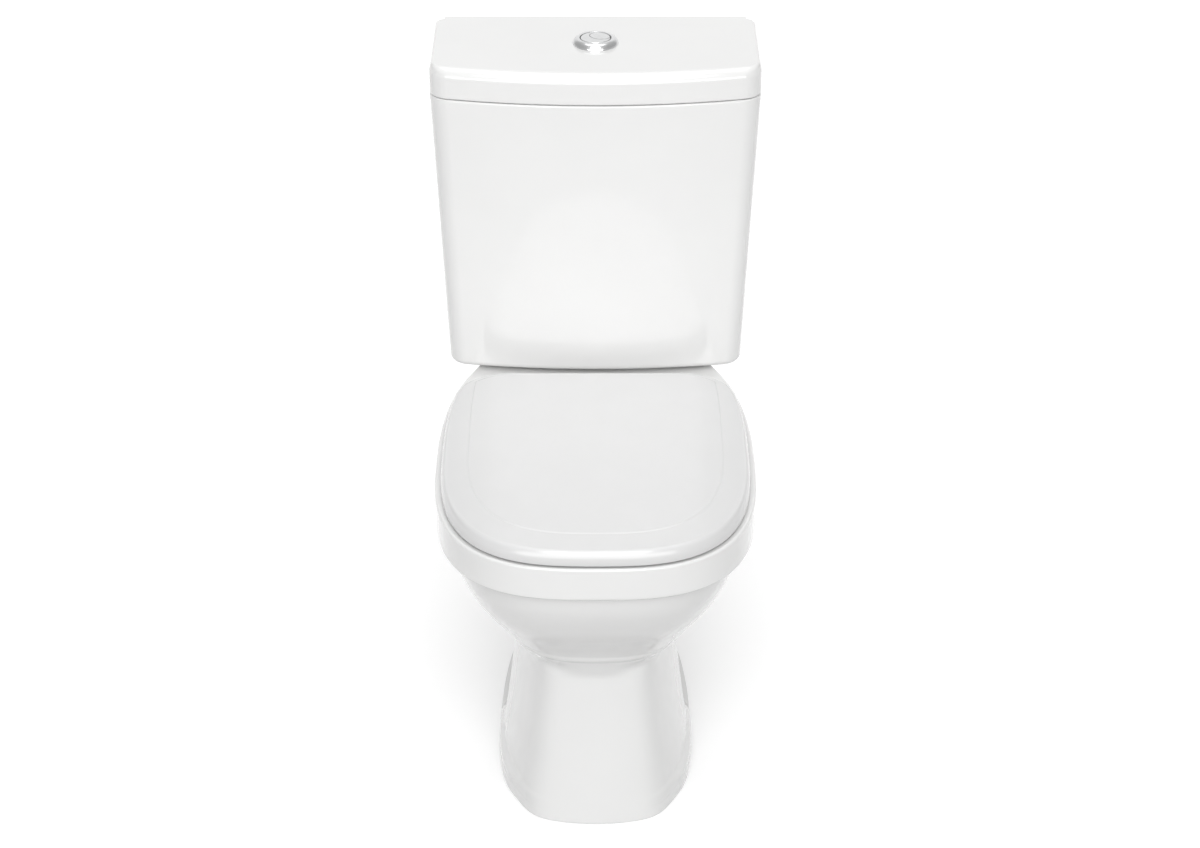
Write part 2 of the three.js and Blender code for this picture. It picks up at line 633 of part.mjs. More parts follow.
const floorScrew = (x) => join(post(x, SCREW.y, 3, 0.5, 18, 12), post(x, SCREW.y, 6, 17.5, 22.5, 6));
const floorSleeve = (x) => turned(x, SCREW.y, [
  [3.4, 0.5], [6.6, 0.5], [6.6, FLANGE.top + GAP], [9, FLANGE.top + GAP], [9, 17], [3.4, 17],
], 16);
const floorCap = (x) => turned(x, SCREW.y, [
  [10, 14.4], [11.5, 14.4], [11.5, 22], [9.5, 26.5], [5, 28.5], [0, 29],
  [0, 27.2], [4.5, 26.8], [8.4, 25.2], [10, 21.6],
], 16);

// ---------------------------------------------------------------- materials
const ceramic = { color: 0xf4f4f2, roughness: 0.1, metalness: 0 };
const seatPlastic = { color: 0xf2f2f1, roughness: 0.16, metalness: 0 };
const chrome = { color: 0xd6d8db, roughness: 0.12, metalness: 1 };
const steel = { color: 0xb4b7ba, roughness: 0.35, metalness: 1 };
const brass = { color: 0xc7a35a, roughness: 0.35, metalness: 1 };
const whitePlastic = { color: 0xe8e8e4, roughness: 0.4, metalness: 0 };
const greyPlastic = { color: 0x9aa0a4, roughness: 0.45, metalness: 0 };
const bluePlastic = { color: 0x3f6ea3, roughness: 0.4, metalness: 0 };
const rubber = { color: 0x2b2b2b, roughness: 0.8, metalness: 0 };
const softWhite = { color: 0xe4e4e0, roughness: 0.6, metalness: 0 };

// ---------------------------------------------------------------- the assembly
const toilet = new THREE.Group();

function add(name, body, finish, parent = toilet) {
  const mesh = new THREE.Mesh(shape(body), new THREE.MeshStandardMaterial(finish));
  mesh.name = name;
  parent.add(mesh);
  return mesh;
}

function addPanAndCistern() {
  add('pan', pan(), ceramic);
  add('cistern', cistern(), ceramic);
  add('cistern_lid', cisternLid(), ceramic);
}

function addFlushButton() {
  add('button_bezel', buttonBezel(), chrome);
  add('button_nut', nut(0, BUTTON_Y, 19.9, 28, COVER.ceiling - 8, COVER.ceiling - GAP), whitePlastic);
  add('full_flush_button', fullButton(), chrome);
  add('half_flush_button', halfButton(), chrome);
  add('full_push_rod', pushRod(ROD.fullX), bluePlastic);
  add('half_push_rod', pushRod(ROD.halfX), whitePlastic);
}

function addFlushValve() {
  add('flush_valve_base', valveBase(), whitePlastic);
  add('flush_valve_gasket', ringPost(0, VALVE_Y, 31, 40, TANK.floor + GAP, 420), rubber);
  add('flush_valve_backnut', nut(0, VALVE_Y, 29.9, 38, 392.7, TANK.bottom - GAP, 12), whitePlastic);
  add('flush_valve_tower', valveTower(), whitePlastic);
  add('overflow_tube', ringPost(0, VALVE_Y, 10, 12, 430.6, 640), bluePlastic);
  add('valve_seal', ringPost(0, VALVE_Y, 9, 27, 427.3, 430.3), rubber);
  add('coupling_gasket', ringPost(0, VALVE_Y, 39, 46, INLET.seat + GAP, TANK.bottom - GAP, 24), rubber);
}

function addFillValve() {
  const { x, y } = FILL;
  add('fill_valve_body', fillBody(), whitePlastic);
  add('fill_valve_head', fillHead(), greyPlastic);
  add('fill_valve_float', floatCup(), whitePlastic);
  const arm = add('float_arm', floatArm(), greyPlastic);
  arm.position.set(ARM.x, ARM.y, ARM.z);
  arm.rotation.y = -ARM.droop;
  add('fill_valve_gasket', ringPost(x, y, 10.4, 16, TANK.floor + GAP, 420), rubber);
  add('fill_valve_backnut', nut(x, y, 9.9, 17, 396.7, TANK.bottom - GAP), whitePlastic);
}

function addSeat() {
  add('seat_ring', seatRing(), seatPlastic);
  add('seat_lid', seatLid(), seatPlastic);
  const middleOfRim = oval({ ...RING, halfWidth: 150, front: -293, rear: 190 }, 0, 36);
  const buffers = { front_left: 23, front_right: 31, rear_left: 16, rear_right: 2 };
  for (const [where, step] of Object.entries(buffers)) {
    const spot = middleOfRim[step];
    add(`seat_buffer_${where}`, post(spot.x, spot.y, 8, RIM_TOP + GAP, RING_Z[0] - GAP, 16), softWhite);
  }
}

function addHingePieces(side, suffix) {
  const x = side * HINGE.x;
  const { y, radius, bottom, top } = SEAT_BOLT;
  const ends = side < 0 ? [-PIN_OUTER - 1, -PIN_INNER + 1] : [PIN_INNER - 1, PIN_OUTER + 1];
  const washer = RIM_BOTTOM - 3;
  add(`lid_buffer_${suffix}`, post(side * 62, -272, 6, RING_Z[1] + GAP, LID_Z.ceiling - GAP, 16), softWhite);
  add(`hinge_post_${suffix}`, hingePost(x), chrome);
  add(`hinge_pin_${suffix}`, crossbar(HINGE.y, HINGE.z, HINGE.pin, ...ends, 16), steel);
  add(`seat_bolt_${suffix}`, post(x, y, radius, bottom, top, 16), steel);
  add(`seat_washer_${suffix}`, ringPost(x, y, radius + 0.5, 9, washer, RIM_BOTTOM - GAP, 16), rubber);
  add(`seat_wing_nut_${suffix}`, wingNut(x, y, radius + 0.4, bottom + 9, washer - GAP), whitePlastic);
}

function addCouplingPieces(side, suffix) {
  const x = side * COUPLING_X;
  const [seal, washer] = [TANK.floor + 3.2, RIM_BOTTOM - 2.3];
  add(`coupling_bolt_${suffix}`, couplingBolt(x), brass);
  add(`coupling_seal_${suffix}`, ringPost(x, VALVE_Y, 4.4, 12, TANK.floor + GAP, seal, 16), rubber);
  add(`coupling_washer_${suffix}`, ringPost(x, VALVE_Y, 4.5, 13, washer, RIM_BOTTOM - GAP, 16), steel);
  add(`coupling_wing_nut_${suffix}`, wingNut(x, VALVE_Y, 4.4, 346, washer - GAP), brass);
}

function addFloorPieces(side, suffix) {
  const x = side * SCREW.x;
  add(`floor_screw_${suffix}`, floorScrew(x), steel);
  add(`floor_sleeve_${suffix}`, floorSleeve(x), whitePlastic);
  add(`floor_cap_${suffix}`, floorCap(x), whitePlastic);
}

addPanAndCistern();
addFlushButton();
addFlushValve();
addFillValve();
addSeat();
for (const [side, suffix] of [[-1, 'left'], [1, 'right']]) {
  addHingePieces(side, suffix);
  addCouplingPieces(side, suffix);
  addFloorPieces(side, suffix);
}

export default toilet;
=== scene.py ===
import math

import bmesh
import bpy
import numpy as np
from mathutils import Matrix, Vector


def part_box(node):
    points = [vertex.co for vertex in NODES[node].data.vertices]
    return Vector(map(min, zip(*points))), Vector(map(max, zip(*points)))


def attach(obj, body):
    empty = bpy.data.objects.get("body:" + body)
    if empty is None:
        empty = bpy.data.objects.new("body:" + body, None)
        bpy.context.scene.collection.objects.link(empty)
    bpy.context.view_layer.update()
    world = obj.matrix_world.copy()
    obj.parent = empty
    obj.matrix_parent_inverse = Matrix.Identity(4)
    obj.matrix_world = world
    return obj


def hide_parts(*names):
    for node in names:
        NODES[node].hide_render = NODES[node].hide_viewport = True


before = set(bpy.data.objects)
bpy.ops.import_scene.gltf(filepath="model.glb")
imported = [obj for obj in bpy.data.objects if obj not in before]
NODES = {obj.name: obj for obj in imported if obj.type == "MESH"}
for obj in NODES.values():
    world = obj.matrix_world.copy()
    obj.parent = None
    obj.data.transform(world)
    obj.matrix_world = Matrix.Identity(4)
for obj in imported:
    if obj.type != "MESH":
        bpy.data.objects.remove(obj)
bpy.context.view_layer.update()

MM = 0.001
AROUND = 320  # points round a lofted outline
TURNS = np.linspace(0.0, 2.0 * math.pi, AROUND, endpoint=False)
SHARP = math.radians(35)  # faces that meet at a larger angle keep a crisp edge


def box(node):
    """Lowest and highest corner of a CAD node, in millimetres."""
    low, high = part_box(node)
    return np.array(low) / MM, np.array(high) / MM


def middle(node):
    """Centre of a CAD node's box, in millimetres."""
    low, high = box(node)
    return (low + high) / 2


# ------------------------------------------------------------------ driving dimensions, from the frame
PAN_LOW, PAN_HIGH = box("pan")
LID_LOW, LID_HIGH = box("seat_lid")
RING_LOW, RING_HIGH = box("seat_ring")
TANK_LOW, TANK_HIGH = box("cistern")
COVER_LOW, COVER_HIGH = box("cistern_lid")
BEZEL_LOW, BEZEL_HIGH = box("button_bezel")
PIN_LOW, PIN_HIGH = box("hinge_pin_right")

FRONT = PAN_LOW[1]
RIM_TOP = PAN_HIGH[2]
RIM_HALF = PAN_HIGH[0]
RIM_BOTTOM = RIM_TOP - 39.5
WALL = TANK_HIGH[1]
HINGE_Y = (PIN_LOW[1] + PIN_HIGH[1]) / 2
HINGE_Z = (PIN_LOW[2] + PIN_HIGH[2]) / 2
VALVE = middle("flush_valve_base")
FILL = middle("fill_valve_backnut")
BUTTON = middle("button_bezel")


# ------------------------------------------------------------------ mesh helpers
def make_object(name, mesh):
    piece = bpy.data.objects.new(name, mesh)
    bpy.context.scene.collection.objects.link(piece)
    return piece


def loft(name, rings, ends=True):
    """A body through equal rings of points. Without ends, the last ring joins the first."""
    rings = np.asarray(rings, float)
    rows, count = rings.shape[:2]
    faces = []
    last = rows - 1 if ends else rows
    for row in range(last):
        low, high = row * count, ((row + 1) % rows) * count
        for i in range(count):
            j = (i + 1) % count
            faces.append((low + i, low + j, high + j, high + i))
    if ends:
        faces.append(tuple(reversed(range(count))))
        faces.append(tuple(range((rows - 1) * count, rows * count)))
    mesh = bpy.data.meshes.new(name)
    mesh.from_pydata((rings.reshape(-1, 3) * MM).tolist(), [], faces)
    mesh.validate()
    return make_object(name, mesh)


def combine(piece, operation, *others):
    """Joins others to piece, or cuts them from it, for good."""
    for other in others:
        step = piece.modifiers.new("step", "BOOLEAN")
        step.operation = operation
        step.solver = "MANIFOLD"
        step.object = other
    graph = bpy.context.evaluated_depsgraph_get()
    made = bpy.data.meshes.new_from_object(piece.evaluated_get(graph))
    piece.modifiers.clear()
    piece.data = made
    for other in others:
        bpy.data.objects.remove(other)
    return piece


def join(piece, *others):
    return combine(piece, "UNION", *others)


def cut(piece, *others):
    return combine(piece, "DIFFERENCE", *others)


def common(piece, *others):
    return combine(piece, "INTERSECT", *others)


def softened(profile, radius, steps=4):
    """A profile of (radius, height) points with its inner corners rounded."""
    points = [np.array(p, float) for p in profile]
    made = [points[0]]
    for before, here, after in zip(points, points[1:], points[2:]):
        back, on = before - here, after - here
        reach = min(radius, 0.45 * np.linalg.norm(back), 0.45 * np.linalg.norm(on))
        start = here + back / np.linalg.norm(back) * reach
        end = here + on / np.linalg.norm(on) * reach
        for t in np.linspace(0, 1, steps):
            made.append((1 - t) ** 2 * start + 2 * t * (1 - t) * here + t * t * end)
    made.append(points[-1])
    return made


def turned(name, x, y, profile, facets=64, soft=0.0):
    """A body of revolution about an upright axis; the profile starts and ends on the axis, or closes."""
    closed = profile[0][0] > 0
    if closed:
        middle_point = ((profile[0][0] + profile[1][0]) / 2, (profile[0][1] + profile[1][1]) / 2)
        profile = [middle_point, *profile[1:], profile[0], middle_point]
    if soft:
        profile = softened(profile, soft)
    if closed:
        profile = profile[:-1]
    turns = np.linspace(0, 2 * math.pi, facets, endpoint=False)
    circle = np.stack([np.cos(turns), np.sin(turns)], 1)
    if closed:
        rings = [np.column_stack([x + r * circle[:, 0], y + r * circle[:, 1], np.full(facets, z)])
                 for r, z in profile]
        return outward(loft(name, rings, ends=False))
    verts = [(x, y, profile[0][1])]
    for r, z in profile[1:-1]:
        verts += [(x + r * c, y + r * s, z) for c, s in circle]
    verts.append((x, y, profile[-1][1]))
    rows = len(profile) - 2
    faces = []
    for i in range(facets):
        j = (i + 1) % facets
        faces.append((0, 1 + j, 1 + i))
        for row in range(rows - 1):
            low, high = 1 + row * facets, 1 + (row + 1) * facets
            faces.append((low + i, low + j, high + j, high + i))
        top = 1 + (rows - 1) * facets
        faces.append((top + i, top + j, len(verts) - 1))
    mesh = bpy.data.meshes.new(name)
    mesh.from_pydata((np.array(verts) * MM).tolist(), [], faces)
    return outward(make_object(name, mesh))


def outward(piece):
    """Turns the faces of a closed body to point out."""
    shape = bmesh.new()
    shape.from_mesh(piece.data)
    bmesh.ops.recalc_face_normals(shape, faces=shape.faces)
    if shape.calc_volume(signed=True) < 0:
        bmesh.ops.reverse_faces(shape, faces=shape.faces)
    shape.to_mesh(piece.data)
    shape.free()
    return piece


def rod(name, start, end, radius, facets=48, soft=0.0):
    """A round bar between two points, with softened ends."""
    start, end = Vector(start), Vector(end)
    length = (end - start).length
    piece = turned(name, 0, 0, [(0, 0), (radius, 0), (radius, length), (0, length)], facets, soft)
    turn = Vector((0, 0, 1)).rotation_difference(end - start).to_matrix().to_4x4()
    piece.data.transform(Matrix.Translation(start * MM) @ turn)
    return piece


def block(name, low, high, soft=0.0):
    """A block with rounded edges."""
    shape = bmesh.new()
    bmesh.ops.create_cube(shape, size=1.0)
    low, high = Vector(low) * MM, Vector(high) * MM
    size = high - low
    for vert in shape.verts:
        vert.co = Vector([c * s for c, s in zip(vert.co, size)]) + (low + high) / 2
    if soft:
        bmesh.ops.bevel(shape, geom=shape.edges, offset=soft * MM, segments=3, profile=0.5, affect="EDGES")
    mesh = bpy.data.meshes.new(name)
    shape.to_mesh(mesh)
    shape.free()
    return outward(make_object(name, mesh))


def pipe(name, points, radius, facets=40):
    """A round bar along points in the plane x = 0."""
    points = np.asarray(points, float)
    along = np.gradient(points, axis=0)
    along /= np.linalg.norm(along, axis=1)[:, None]
    turns = np.linspace(0, 2 * math.pi, facets, endpoint=False)
    rings = []
    for (y, z), (dy, dz) in zip(points, along):
        across = radius * np.cos(turns)
        up = radius * np.sin(turns)
        rings.append(np.column_stack([across, y - dz * up, z + dy * up]))
    return outward(loft(name, rings))


def finish_surface(piece, material, body, nodes):
    """Smooth shading, the material, the body it rides on, and the CAD nodes it stands for."""
    piece.data.materials.clear()
    piece.data.materials.append(material)
    piece.data.shade_smooth()
    piece.data.set_sharp_from_angle(angle=SHARP)
    even = piece.modifiers.new("even_normals", "WEIGHTED_NORMAL")
    even.keep_sharp = True
    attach(piece, body)
    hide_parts(*nodes)
    return piece


# ------------------------------------------------------------------ outlines
FARTHEST = 900.0  # no outline reaches farther from its centre than this
HALVINGS = 46  # steps in the search for where a turn crosses an outline
UNLIMITED = 2000.0  # stands for no limit along a turn


def reach(inside, centre):
    """How far a region reaches from (0, centre) along each turn."""
    near, far = np.zeros(AROUND), np.full(AROUND, FARTHEST)
    for _ in range(HALVINGS):
        half = (near + far) / 2
        hit = inside(half * np.cos(TURNS), centre + half * np.sin(TURNS))
        near, far = np.where(hit, half, near), np.where(hit, far, half)
    return near


def oval(half, front, widest, rear, power, rear_power=None):
    """A region with its own fullness in front of and behind its widest line."""
    rear_power = rear_power or power

    def inside(x, y):
        ahead = y < widest
        n = np.where(ahead, power, rear_power)
        run = np.where(ahead, widest - front, rear - widest)
        return (np.abs(x) / half) ** n + (np.abs(y - widest) / run) ** n < 1
    return inside


def slab(half, front, rear, corner):
    """A rectangle with rounded corners."""
    def inside(x, y):
        dx = np.abs(x) - (half - corner)
        dy = np.abs(y - (front + rear) / 2) - ((rear - front) / 2 - corner)
        outside = np.hypot(np.maximum(dx, 0), np.maximum(dy, 0)) + np.minimum(np.maximum(dx, dy), 0)
        return outside < corner
    return inside


def rear_line(back, centre):
    """How far the straight line y = back is along each turn."""
    away = np.full(AROUND, UNLIMITED)
    behind = np.sin(TURNS) > 0.05
    away[behind] = (back - centre) / np.sin(TURNS[behind])
    return away


def smooth_min(a, b, k):
    """The lesser of two, with the corner between them rounded over k."""
    overlap = np.maximum(k - np.abs(a - b), 0) / k
    return np.minimum(a, b) - overlap * overlap * k / 4


def smooth_max(a, b, k):
    return -smooth_min(-a, -b, k)


def ring_at(radii, centre, z):
    return np.column_stack([radii * np.cos(TURNS), centre + radii * np.sin(TURNS), np.full(AROUND, z)])


def between(heights, rows, at):
    """Rows of radii at other heights, by a curve that never overshoots."""
    heights, rows = np.asarray(heights, float), np.asarray(rows, float)
    gaps = np.diff(heights)
    steep = np.diff(rows, axis=0) / gaps[:, None]
    slope = np.zeros_like(rows)
    slope[0], slope[-1] = steep[0], steep[-1]
    before, after = steep[:-1], steep[1:]
    same = before * after > 0
    total = np.where(same, before + after, 1.0)
    slope[1:-1] = np.where(same, 2 * before * after / total, 0.0)
    made = []
    for z in at:
        i = int(np.clip(np.searchsorted(heights, z) - 1, 0, len(gaps) - 1))
        t = (z - heights[i]) / gaps[i]
        h00, h10 = 2 * t ** 3 - 3 * t * t + 1, t ** 3 - 2 * t * t + t
        h01, h11 = 3 * t * t - 2 * t ** 3, t ** 3 - t * t
        bend = h10 * slope[i] + h11 * slope[i + 1]
        made.append(h00 * rows[i] + h01 * rows[i + 1] + gaps[i] * bend)
    return made


def quarter(steps, start=0.0):
    """Angles of a quarter turn, for rounded edges."""
    return np.linspace(start, math.pi / 2, steps)


# ------------------------------------------------------------------ pan: outside
PAN_CENTRE = -40.0
COLUMN_MIDDLE = -47.0  # the widest line of the column, which is an ellipse cut off by a bowed front panel
COLUMN_REACH = 217.0
COLUMN_BACK = 148.0
COLUMN = [  # height, half width
    [0, 112.5], [35, 108.5], [60, 105], [90, 101], [130, 96.5], [170, 92], [200, 89],
]
PANEL_FRONT = -224.0
PANEL_BOW = 190.0
PANEL_CORNER = 17.0
BOWL = [  # height, half width, front, widest, rear, power
    [212, 91, -228, -55, 80, 2.6],
    [222, 102, -232, -60, 76, 2.7],
    [232, 110.5, -237, -65, 75, 2.8],
    [245, 118.5, -245, -70, 75, 2.9],
    [262, 128.5, -259, -75, 75, 2.9],
    [285, 141.5, -280, -80, 76, 2.9],
    [310, 153.5, -297, -85, 77, 2.9],
    [335, 163, -308, -85, 78, 2.9],
    [RIM_BOTTOM - 1.0, 170, -313, -85, 80, 2.9],
]
BACK_BODY = [[0, 202], [150, 202], [230, 228], [300, 264], [362, 290]]  # height, rear
BACK_HALF = 54.0
BACK_BLEND = 26
SKIN_STEP = 2.0  # height between rows of the skin table
EASE_AROUND, EASE_UP = 8, 5  # passes that ease creases along a row, and from row to row
BEAD_Z, BEAD_HALF, BEAD_PROUD = 232.0, 6.5, 1.6  # a rolled edge where the bowl meets the column
FOOT = dict(half=115, front=PANEL_FRONT, widest=-45, rear=285, power=2.6, rear_power=2.4)
FOOT_BACK = 205.0
FOOT_CORNER = 30
FOOT_TOP = 14.0
FLARE_TOP = 36.0
RIM = dict(half=RIM_HALF, front=FRONT, widest=-85, rear=244, power=2.9, rear_power=2.5)
DECK_HALF = 118.0
DECK_CORNER = 22
DECK_BLEND = 55
RIM_ROUND = 3.0


def inset_oval(plan, inset):
    return oval(plan["half"] - inset, plan["front"] + inset, plan["widest"], plan["rear"] - inset,
                plan["power"], plan.get("rear_power"))


def column_reach(half):
    """The column: an ellipse of this half width, cut off in front by the bowed panel."""
    plan = oval(half, COLUMN_MIDDLE - COLUMN_REACH, COLUMN_MIDDLE, COLUMN_MIDDLE + COLUMN_BACK, 2)
    side = reach(plan, PAN_CENTRE)
    centre = PANEL_FRONT + PANEL_BOW
    panel = reach(lambda x, y: x * x + (y - centre) ** 2 < PANEL_BOW ** 2, PAN_CENTRE)
    panel = np.where(np.sin(TURNS) < -0.2, panel, UNLIMITED)
    return smooth_min(side, panel, PANEL_CORNER)


def back_reach(z):
    """The narrow body behind the column, which carries the outlet."""
    rear = np.interp(z, *np.transpose(BACK_BODY))
    return reach(slab(BACK_HALF, -100, rear, 12), PAN_CENTRE)


def skin_table():
    """The pan's skin below the rim: radii at closely spaced heights, with every crease eased."""
    keys = [[z, column_reach(half)] for z, half in COLUMN]
    keys += [[z, reach(oval(*plan), PAN_CENTRE)] for z, *plan in BOWL]
    heights = np.arange(0.0, RIM_BOTTOM + 2 * SKIN_STEP, SKIN_STEP)
    rows = between([z for z, _ in keys], [r for _, r in keys], heights)
    table = np.array([smooth_max(row, back_reach(z), BACK_BLEND) for z, row in zip(heights, rows)])
    for _ in range(EASE_AROUND):
        table = (np.roll(table, 1, axis=1) + 2 * table + np.roll(table, -1, axis=1)) / 4
    for _ in range(EASE_UP):
        table[1:-1] = (table[:-2] + 2 * table[1:-1] + table[2:]) / 4
    return heights, table


SKIN_HEIGHTS, SKIN = skin_table()


def body_reaches(heights):
    """The pan's skin below the rim, at these heights."""
    rows = []
    for z in heights:
        step = min(max(z, 0.0) / SKIN_STEP, len(SKIN_HEIGHTS) - 1.001)
        low, share = int(step), step - int(step)
        away = min(abs(z - BEAD_Z) / BEAD_HALF, 1)
        rows.append(SKIN[low] * (1 - share) + SKIN[low + 1] * share + BEAD_PROUD * (1 - away * away) ** 2)
    return rows


def foot_reach(inset, z):
    """The flange that spreads at the sides, while the front panel runs straight down to the floor."""
    line = rear_line(FOOT_BACK - inset, PAN_CENTRE)
    flange = smooth_min(reach(inset_oval(FOOT, inset), PAN_CENTRE), line, FOOT_CORNER)
    ahead = np.clip((-np.sin(TURNS) - 0.72) / 0.21, 0, 1)
    ahead = ahead * ahead * (3 - 2 * ahead)
    return flange * (1 - ahead) + (body_reaches([z])[0] - (inset if z < 6 else 0)) * ahead


def rim_reach(inset):
    """The rim and the deck behind it."""
    deck = reach(slab(DECK_HALF - inset, -100, PAN_HIGH[1] - inset, DECK_CORNER), PAN_CENTRE)
    return smooth_max(reach(inset_oval(RIM, inset), PAN_CENTRE), deck, DECK_BLEND)


def pan_outside():
    foot_heights = [0, 0.6, 2, 6, 10, 12]
    spans = [(FOOT_TOP, 56, 2.5), (58, 196, 6), (198, 220, 2.5), (220, 240, 0.8), (240.5, 264, 2.5),
             (266, RIM_BOTTOM - 2, 5)]
    skin_heights = [z for span in spans for z in np.arange(*span)] + [RIM_BOTTOM - 1.0]
    rings = []
    for z, inset in zip(foot_heights, [1.2, 0.4, 0, 0, 0, 0.6]):
        rings.append(ring_at(foot_reach(inset, z), PAN_CENTRE, z))
    whole_foot = foot_reach(0.8, FOOT_TOP)
    rings.append(ring_at(whole_foot, PAN_CENTRE, FOOT_TOP - 0.4))
    front_share = np.clip(0.5 - np.sin(TURNS), 0, 1)
    for z, skin in zip(skin_heights, body_reaches(skin_heights)):
        rise = np.clip((FLARE_TOP - z) / (FLARE_TOP - FOOT_TOP), 0, 1)
        allowed = (7 + 8 * front_share) * rise ** 1.8
        flare = np.maximum(whole_foot - skin, 0)
        rings.append(ring_at(skin + np.maximum(smooth_min(flare, allowed, 3), 0), PAN_CENTRE, z))
    under = body_reaches([RIM_BOTTOM - 1.0])[0]
    for share in (0.15, 0.5, 0.85):
        step = under * (1 - share) + rim_reach(2.5) * share
        rings.append(ring_at(step, PAN_CENTRE, RIM_BOTTOM - 1.0 + share))
    for turn in quarter(4):
        inset = 2.5 * (1 - math.sin(turn))
        rings.append(ring_at(rim_reach(inset), PAN_CENTRE, RIM_BOTTOM + 2.5 * (1 - math.cos(turn))))
    for z in np.linspace(RIM_BOTTOM + 6, RIM_TOP - RIM_ROUND, 6):
        rings.append(ring_at(rim_reach(0), PAN_CENTRE, z))
    for turn in quarter(8)[1:]:
        inset = RIM_ROUND * (1 - math.cos(turn))
        rings.append(ring_at(rim_reach(inset), PAN_CENTRE, RIM_TOP - RIM_ROUND * (1 - math.sin(turn))))
    return loft("pan_glazed", rings)


# ------------------------------------------------------------------ pan: inside
BOWL_INSIDE = [  # height, half width, front, widest, rear, power
    [150, 26, -88, -50, -16, 2.2],
    [158, 36, -101, -52, -7, 2.2],
    [170, 42, -115, -56, -3, 2.2],
    [190, 52, -142, -62, 4, 2.3],
    [225, 74, -190, -70, 16, 2.5],
    [262, 98, -228, -78, 28, 2.6],
    [300, 120, -259, -82, 40, 2.7],
    [335, 136, -279, -85, 52, 2.8],
    [362, 140, -284, -85, 56, 2.8],
]
MOUTH = dict(half=127, front=-271, widest=-85, rear=44, power=2.6)
LIP_BOTTOM = RIM_TOP - 32
LIP_ROUND = 9.0
BOWL_WALL = 11.0
BOWL_FLOOR, BOWL_SHOULDER = BOWL_INSIDE[0][0], BOWL_INSIDE[-1][0]
BOWL_CENTRE = -60.0
TRAP_INNER, TRAP_OUTER = 30.0, 40.0
TRAP_ROUTE = dict(start=(-60.6, 182.3), heading=-60,
                  legs=[(35, 125, 44), (65, -115, 44), (34, 50, 50), (90, 0, 0)])
OUTLET_Z, OUTLET_OUTER, OUTLET_INNER = 180.0, 51.0, 42.0
OUTLET_START, OUTLET_END = 196.0, 300.0
PEDESTAL_WALL = 12
FLUSH_ROUTE = dict(start=(VALVE[1], RIM_TOP - 8), heading=-90, legs=[(30, -90, 36), (150, 0, 0)])
FLUSH_INNER, FLUSH_OUTER = 23.0, 33.0
RECESS_RADIUS, RECESS_DEEP = 47, 13  # the seat of the coupling gasket in the deck
PASSAGE_RADIUS = 31


def route(start, heading, legs):
    """Points along straights and bends in the plane x = 0: each leg is a length, a turn and its radius."""
    y, z = start
    angle = math.radians(heading)
    points = [(y, z)]
    for length, turn, radius in legs:
        steps = max(int(length / 8), 1)
        for _ in range(steps):
            y, z = y + length / steps * math.cos(angle), z + length / steps * math.sin(angle)
            points.append((y, z))
        bends = round(abs(turn) / 6)
        part = math.radians(turn) / max(bends, 1)
        for _ in range(bends):
            chord = 2 * radius * math.sin(abs(part) / 2)
            y, z = y + chord * math.cos(angle + part / 2), z + chord * math.sin(angle + part / 2)
            angle += part
            points.append((y, z))
    return points


def bowl_rows(grow, heights):
    """The inside of the bowl at these heights, grown outwards by a distance."""
    keys = [[z, reach(oval(half + grow, front - grow, widest, rear + grow, power), BOWL_CENTRE)]
            for z, half, front, widest, rear, power in BOWL_INSIDE]
    return between([z for z, _ in keys], [r for _, r in keys], heights)


def bowl_space():
    """The room inside the bowl, under the rim's lip and through its rounded mouth."""
    rings = []
    floor, *_ = bowl_rows(0, [BOWL_FLOOR])
    for share in (0.15, 0.4, 0.65, 0.85):
        rings.append(ring_at(floor * share, BOWL_CENTRE, BOWL_FLOOR - 3 * (1 - share ** 2)))
    heights = list(np.arange(BOWL_FLOOR, BOWL_SHOULDER, 5)) + [BOWL_SHOULDER]
    rows = bowl_rows(0, heights)
    rings += [ring_at(row, BOWL_CENTRE, z) for z, row in zip(heights, rows)]
    mouth = reach(inset_oval(MOUTH, 0), BOWL_CENTRE)
    round_under = LIP_BOTTOM - BOWL_SHOULDER
    for turn in quarter(5)[1:]:
        share = 1 - math.cos(turn)
        rings.append(ring_at(rows[-1] * (1 - share * 0.5) + mouth * share * 0.5, BOWL_CENTRE,
                             BOWL_SHOULDER + round_under * math.sin(turn)))
    for turn in quarter(4)[1:]:
        share = 0.5 + 0.5 * math.sin(turn)
        rings.append(ring_at(rows[-1] * (1 - share) + mouth * share, BOWL_CENTRE,
                             LIP_BOTTOM + 3 * (1 - math.cos(turn))))
    for z in np.linspace(LIP_BOTTOM + 5, RIM_TOP - LIP_ROUND, 5):
        rings.append(ring_at(mouth, BOWL_CENTRE, z))
    for turn in quarter(9)[1:]:
        grown = reach(inset_oval(MOUTH, -LIP_ROUND * (1 - math.cos(turn))), BOWL_CENTRE)
        rings.append(ring_at(grown, BOWL_CENTRE, RIM_TOP - LIP_ROUND * (1 - math.sin(turn))))
    rings.append(ring_at(reach(inset_oval(MOUTH, -LIP_ROUND), BOWL_CENTRE), BOWL_CENTRE, RIM_TOP + 4))
    return loft("bowl_space", rings)


def bowl_skin():
    """The bowl with its wall, kept whole where the pedestal is hollowed out."""
    heights = list(np.arange(BOWL_FLOOR, 340, 10))
    rings = [ring_at(row, BOWL_CENTRE, z) for z, row in zip(heights, bowl_rows(BOWL_WALL, heights))]
    rings.insert(0, ring_at(bowl_rows(BOWL_WALL - 4, [BOWL_FLOOR])[0], BOWL_CENTRE, BOWL_FLOOR - BOWL_WALL))
    return loft("bowl_skin", rings)


def trap_skin():
    """The trapway and the outlet spigot, from outside."""
    tube = pipe("trap_skin", route(**TRAP_ROUTE), TRAP_OUTER)
    spout = rod("spout", (0, OUTLET_START, OUTLET_Z), (0, OUTLET_END, OUTLET_Z), OUTLET_OUTER, 80, 3)
    return join(tube, spout)


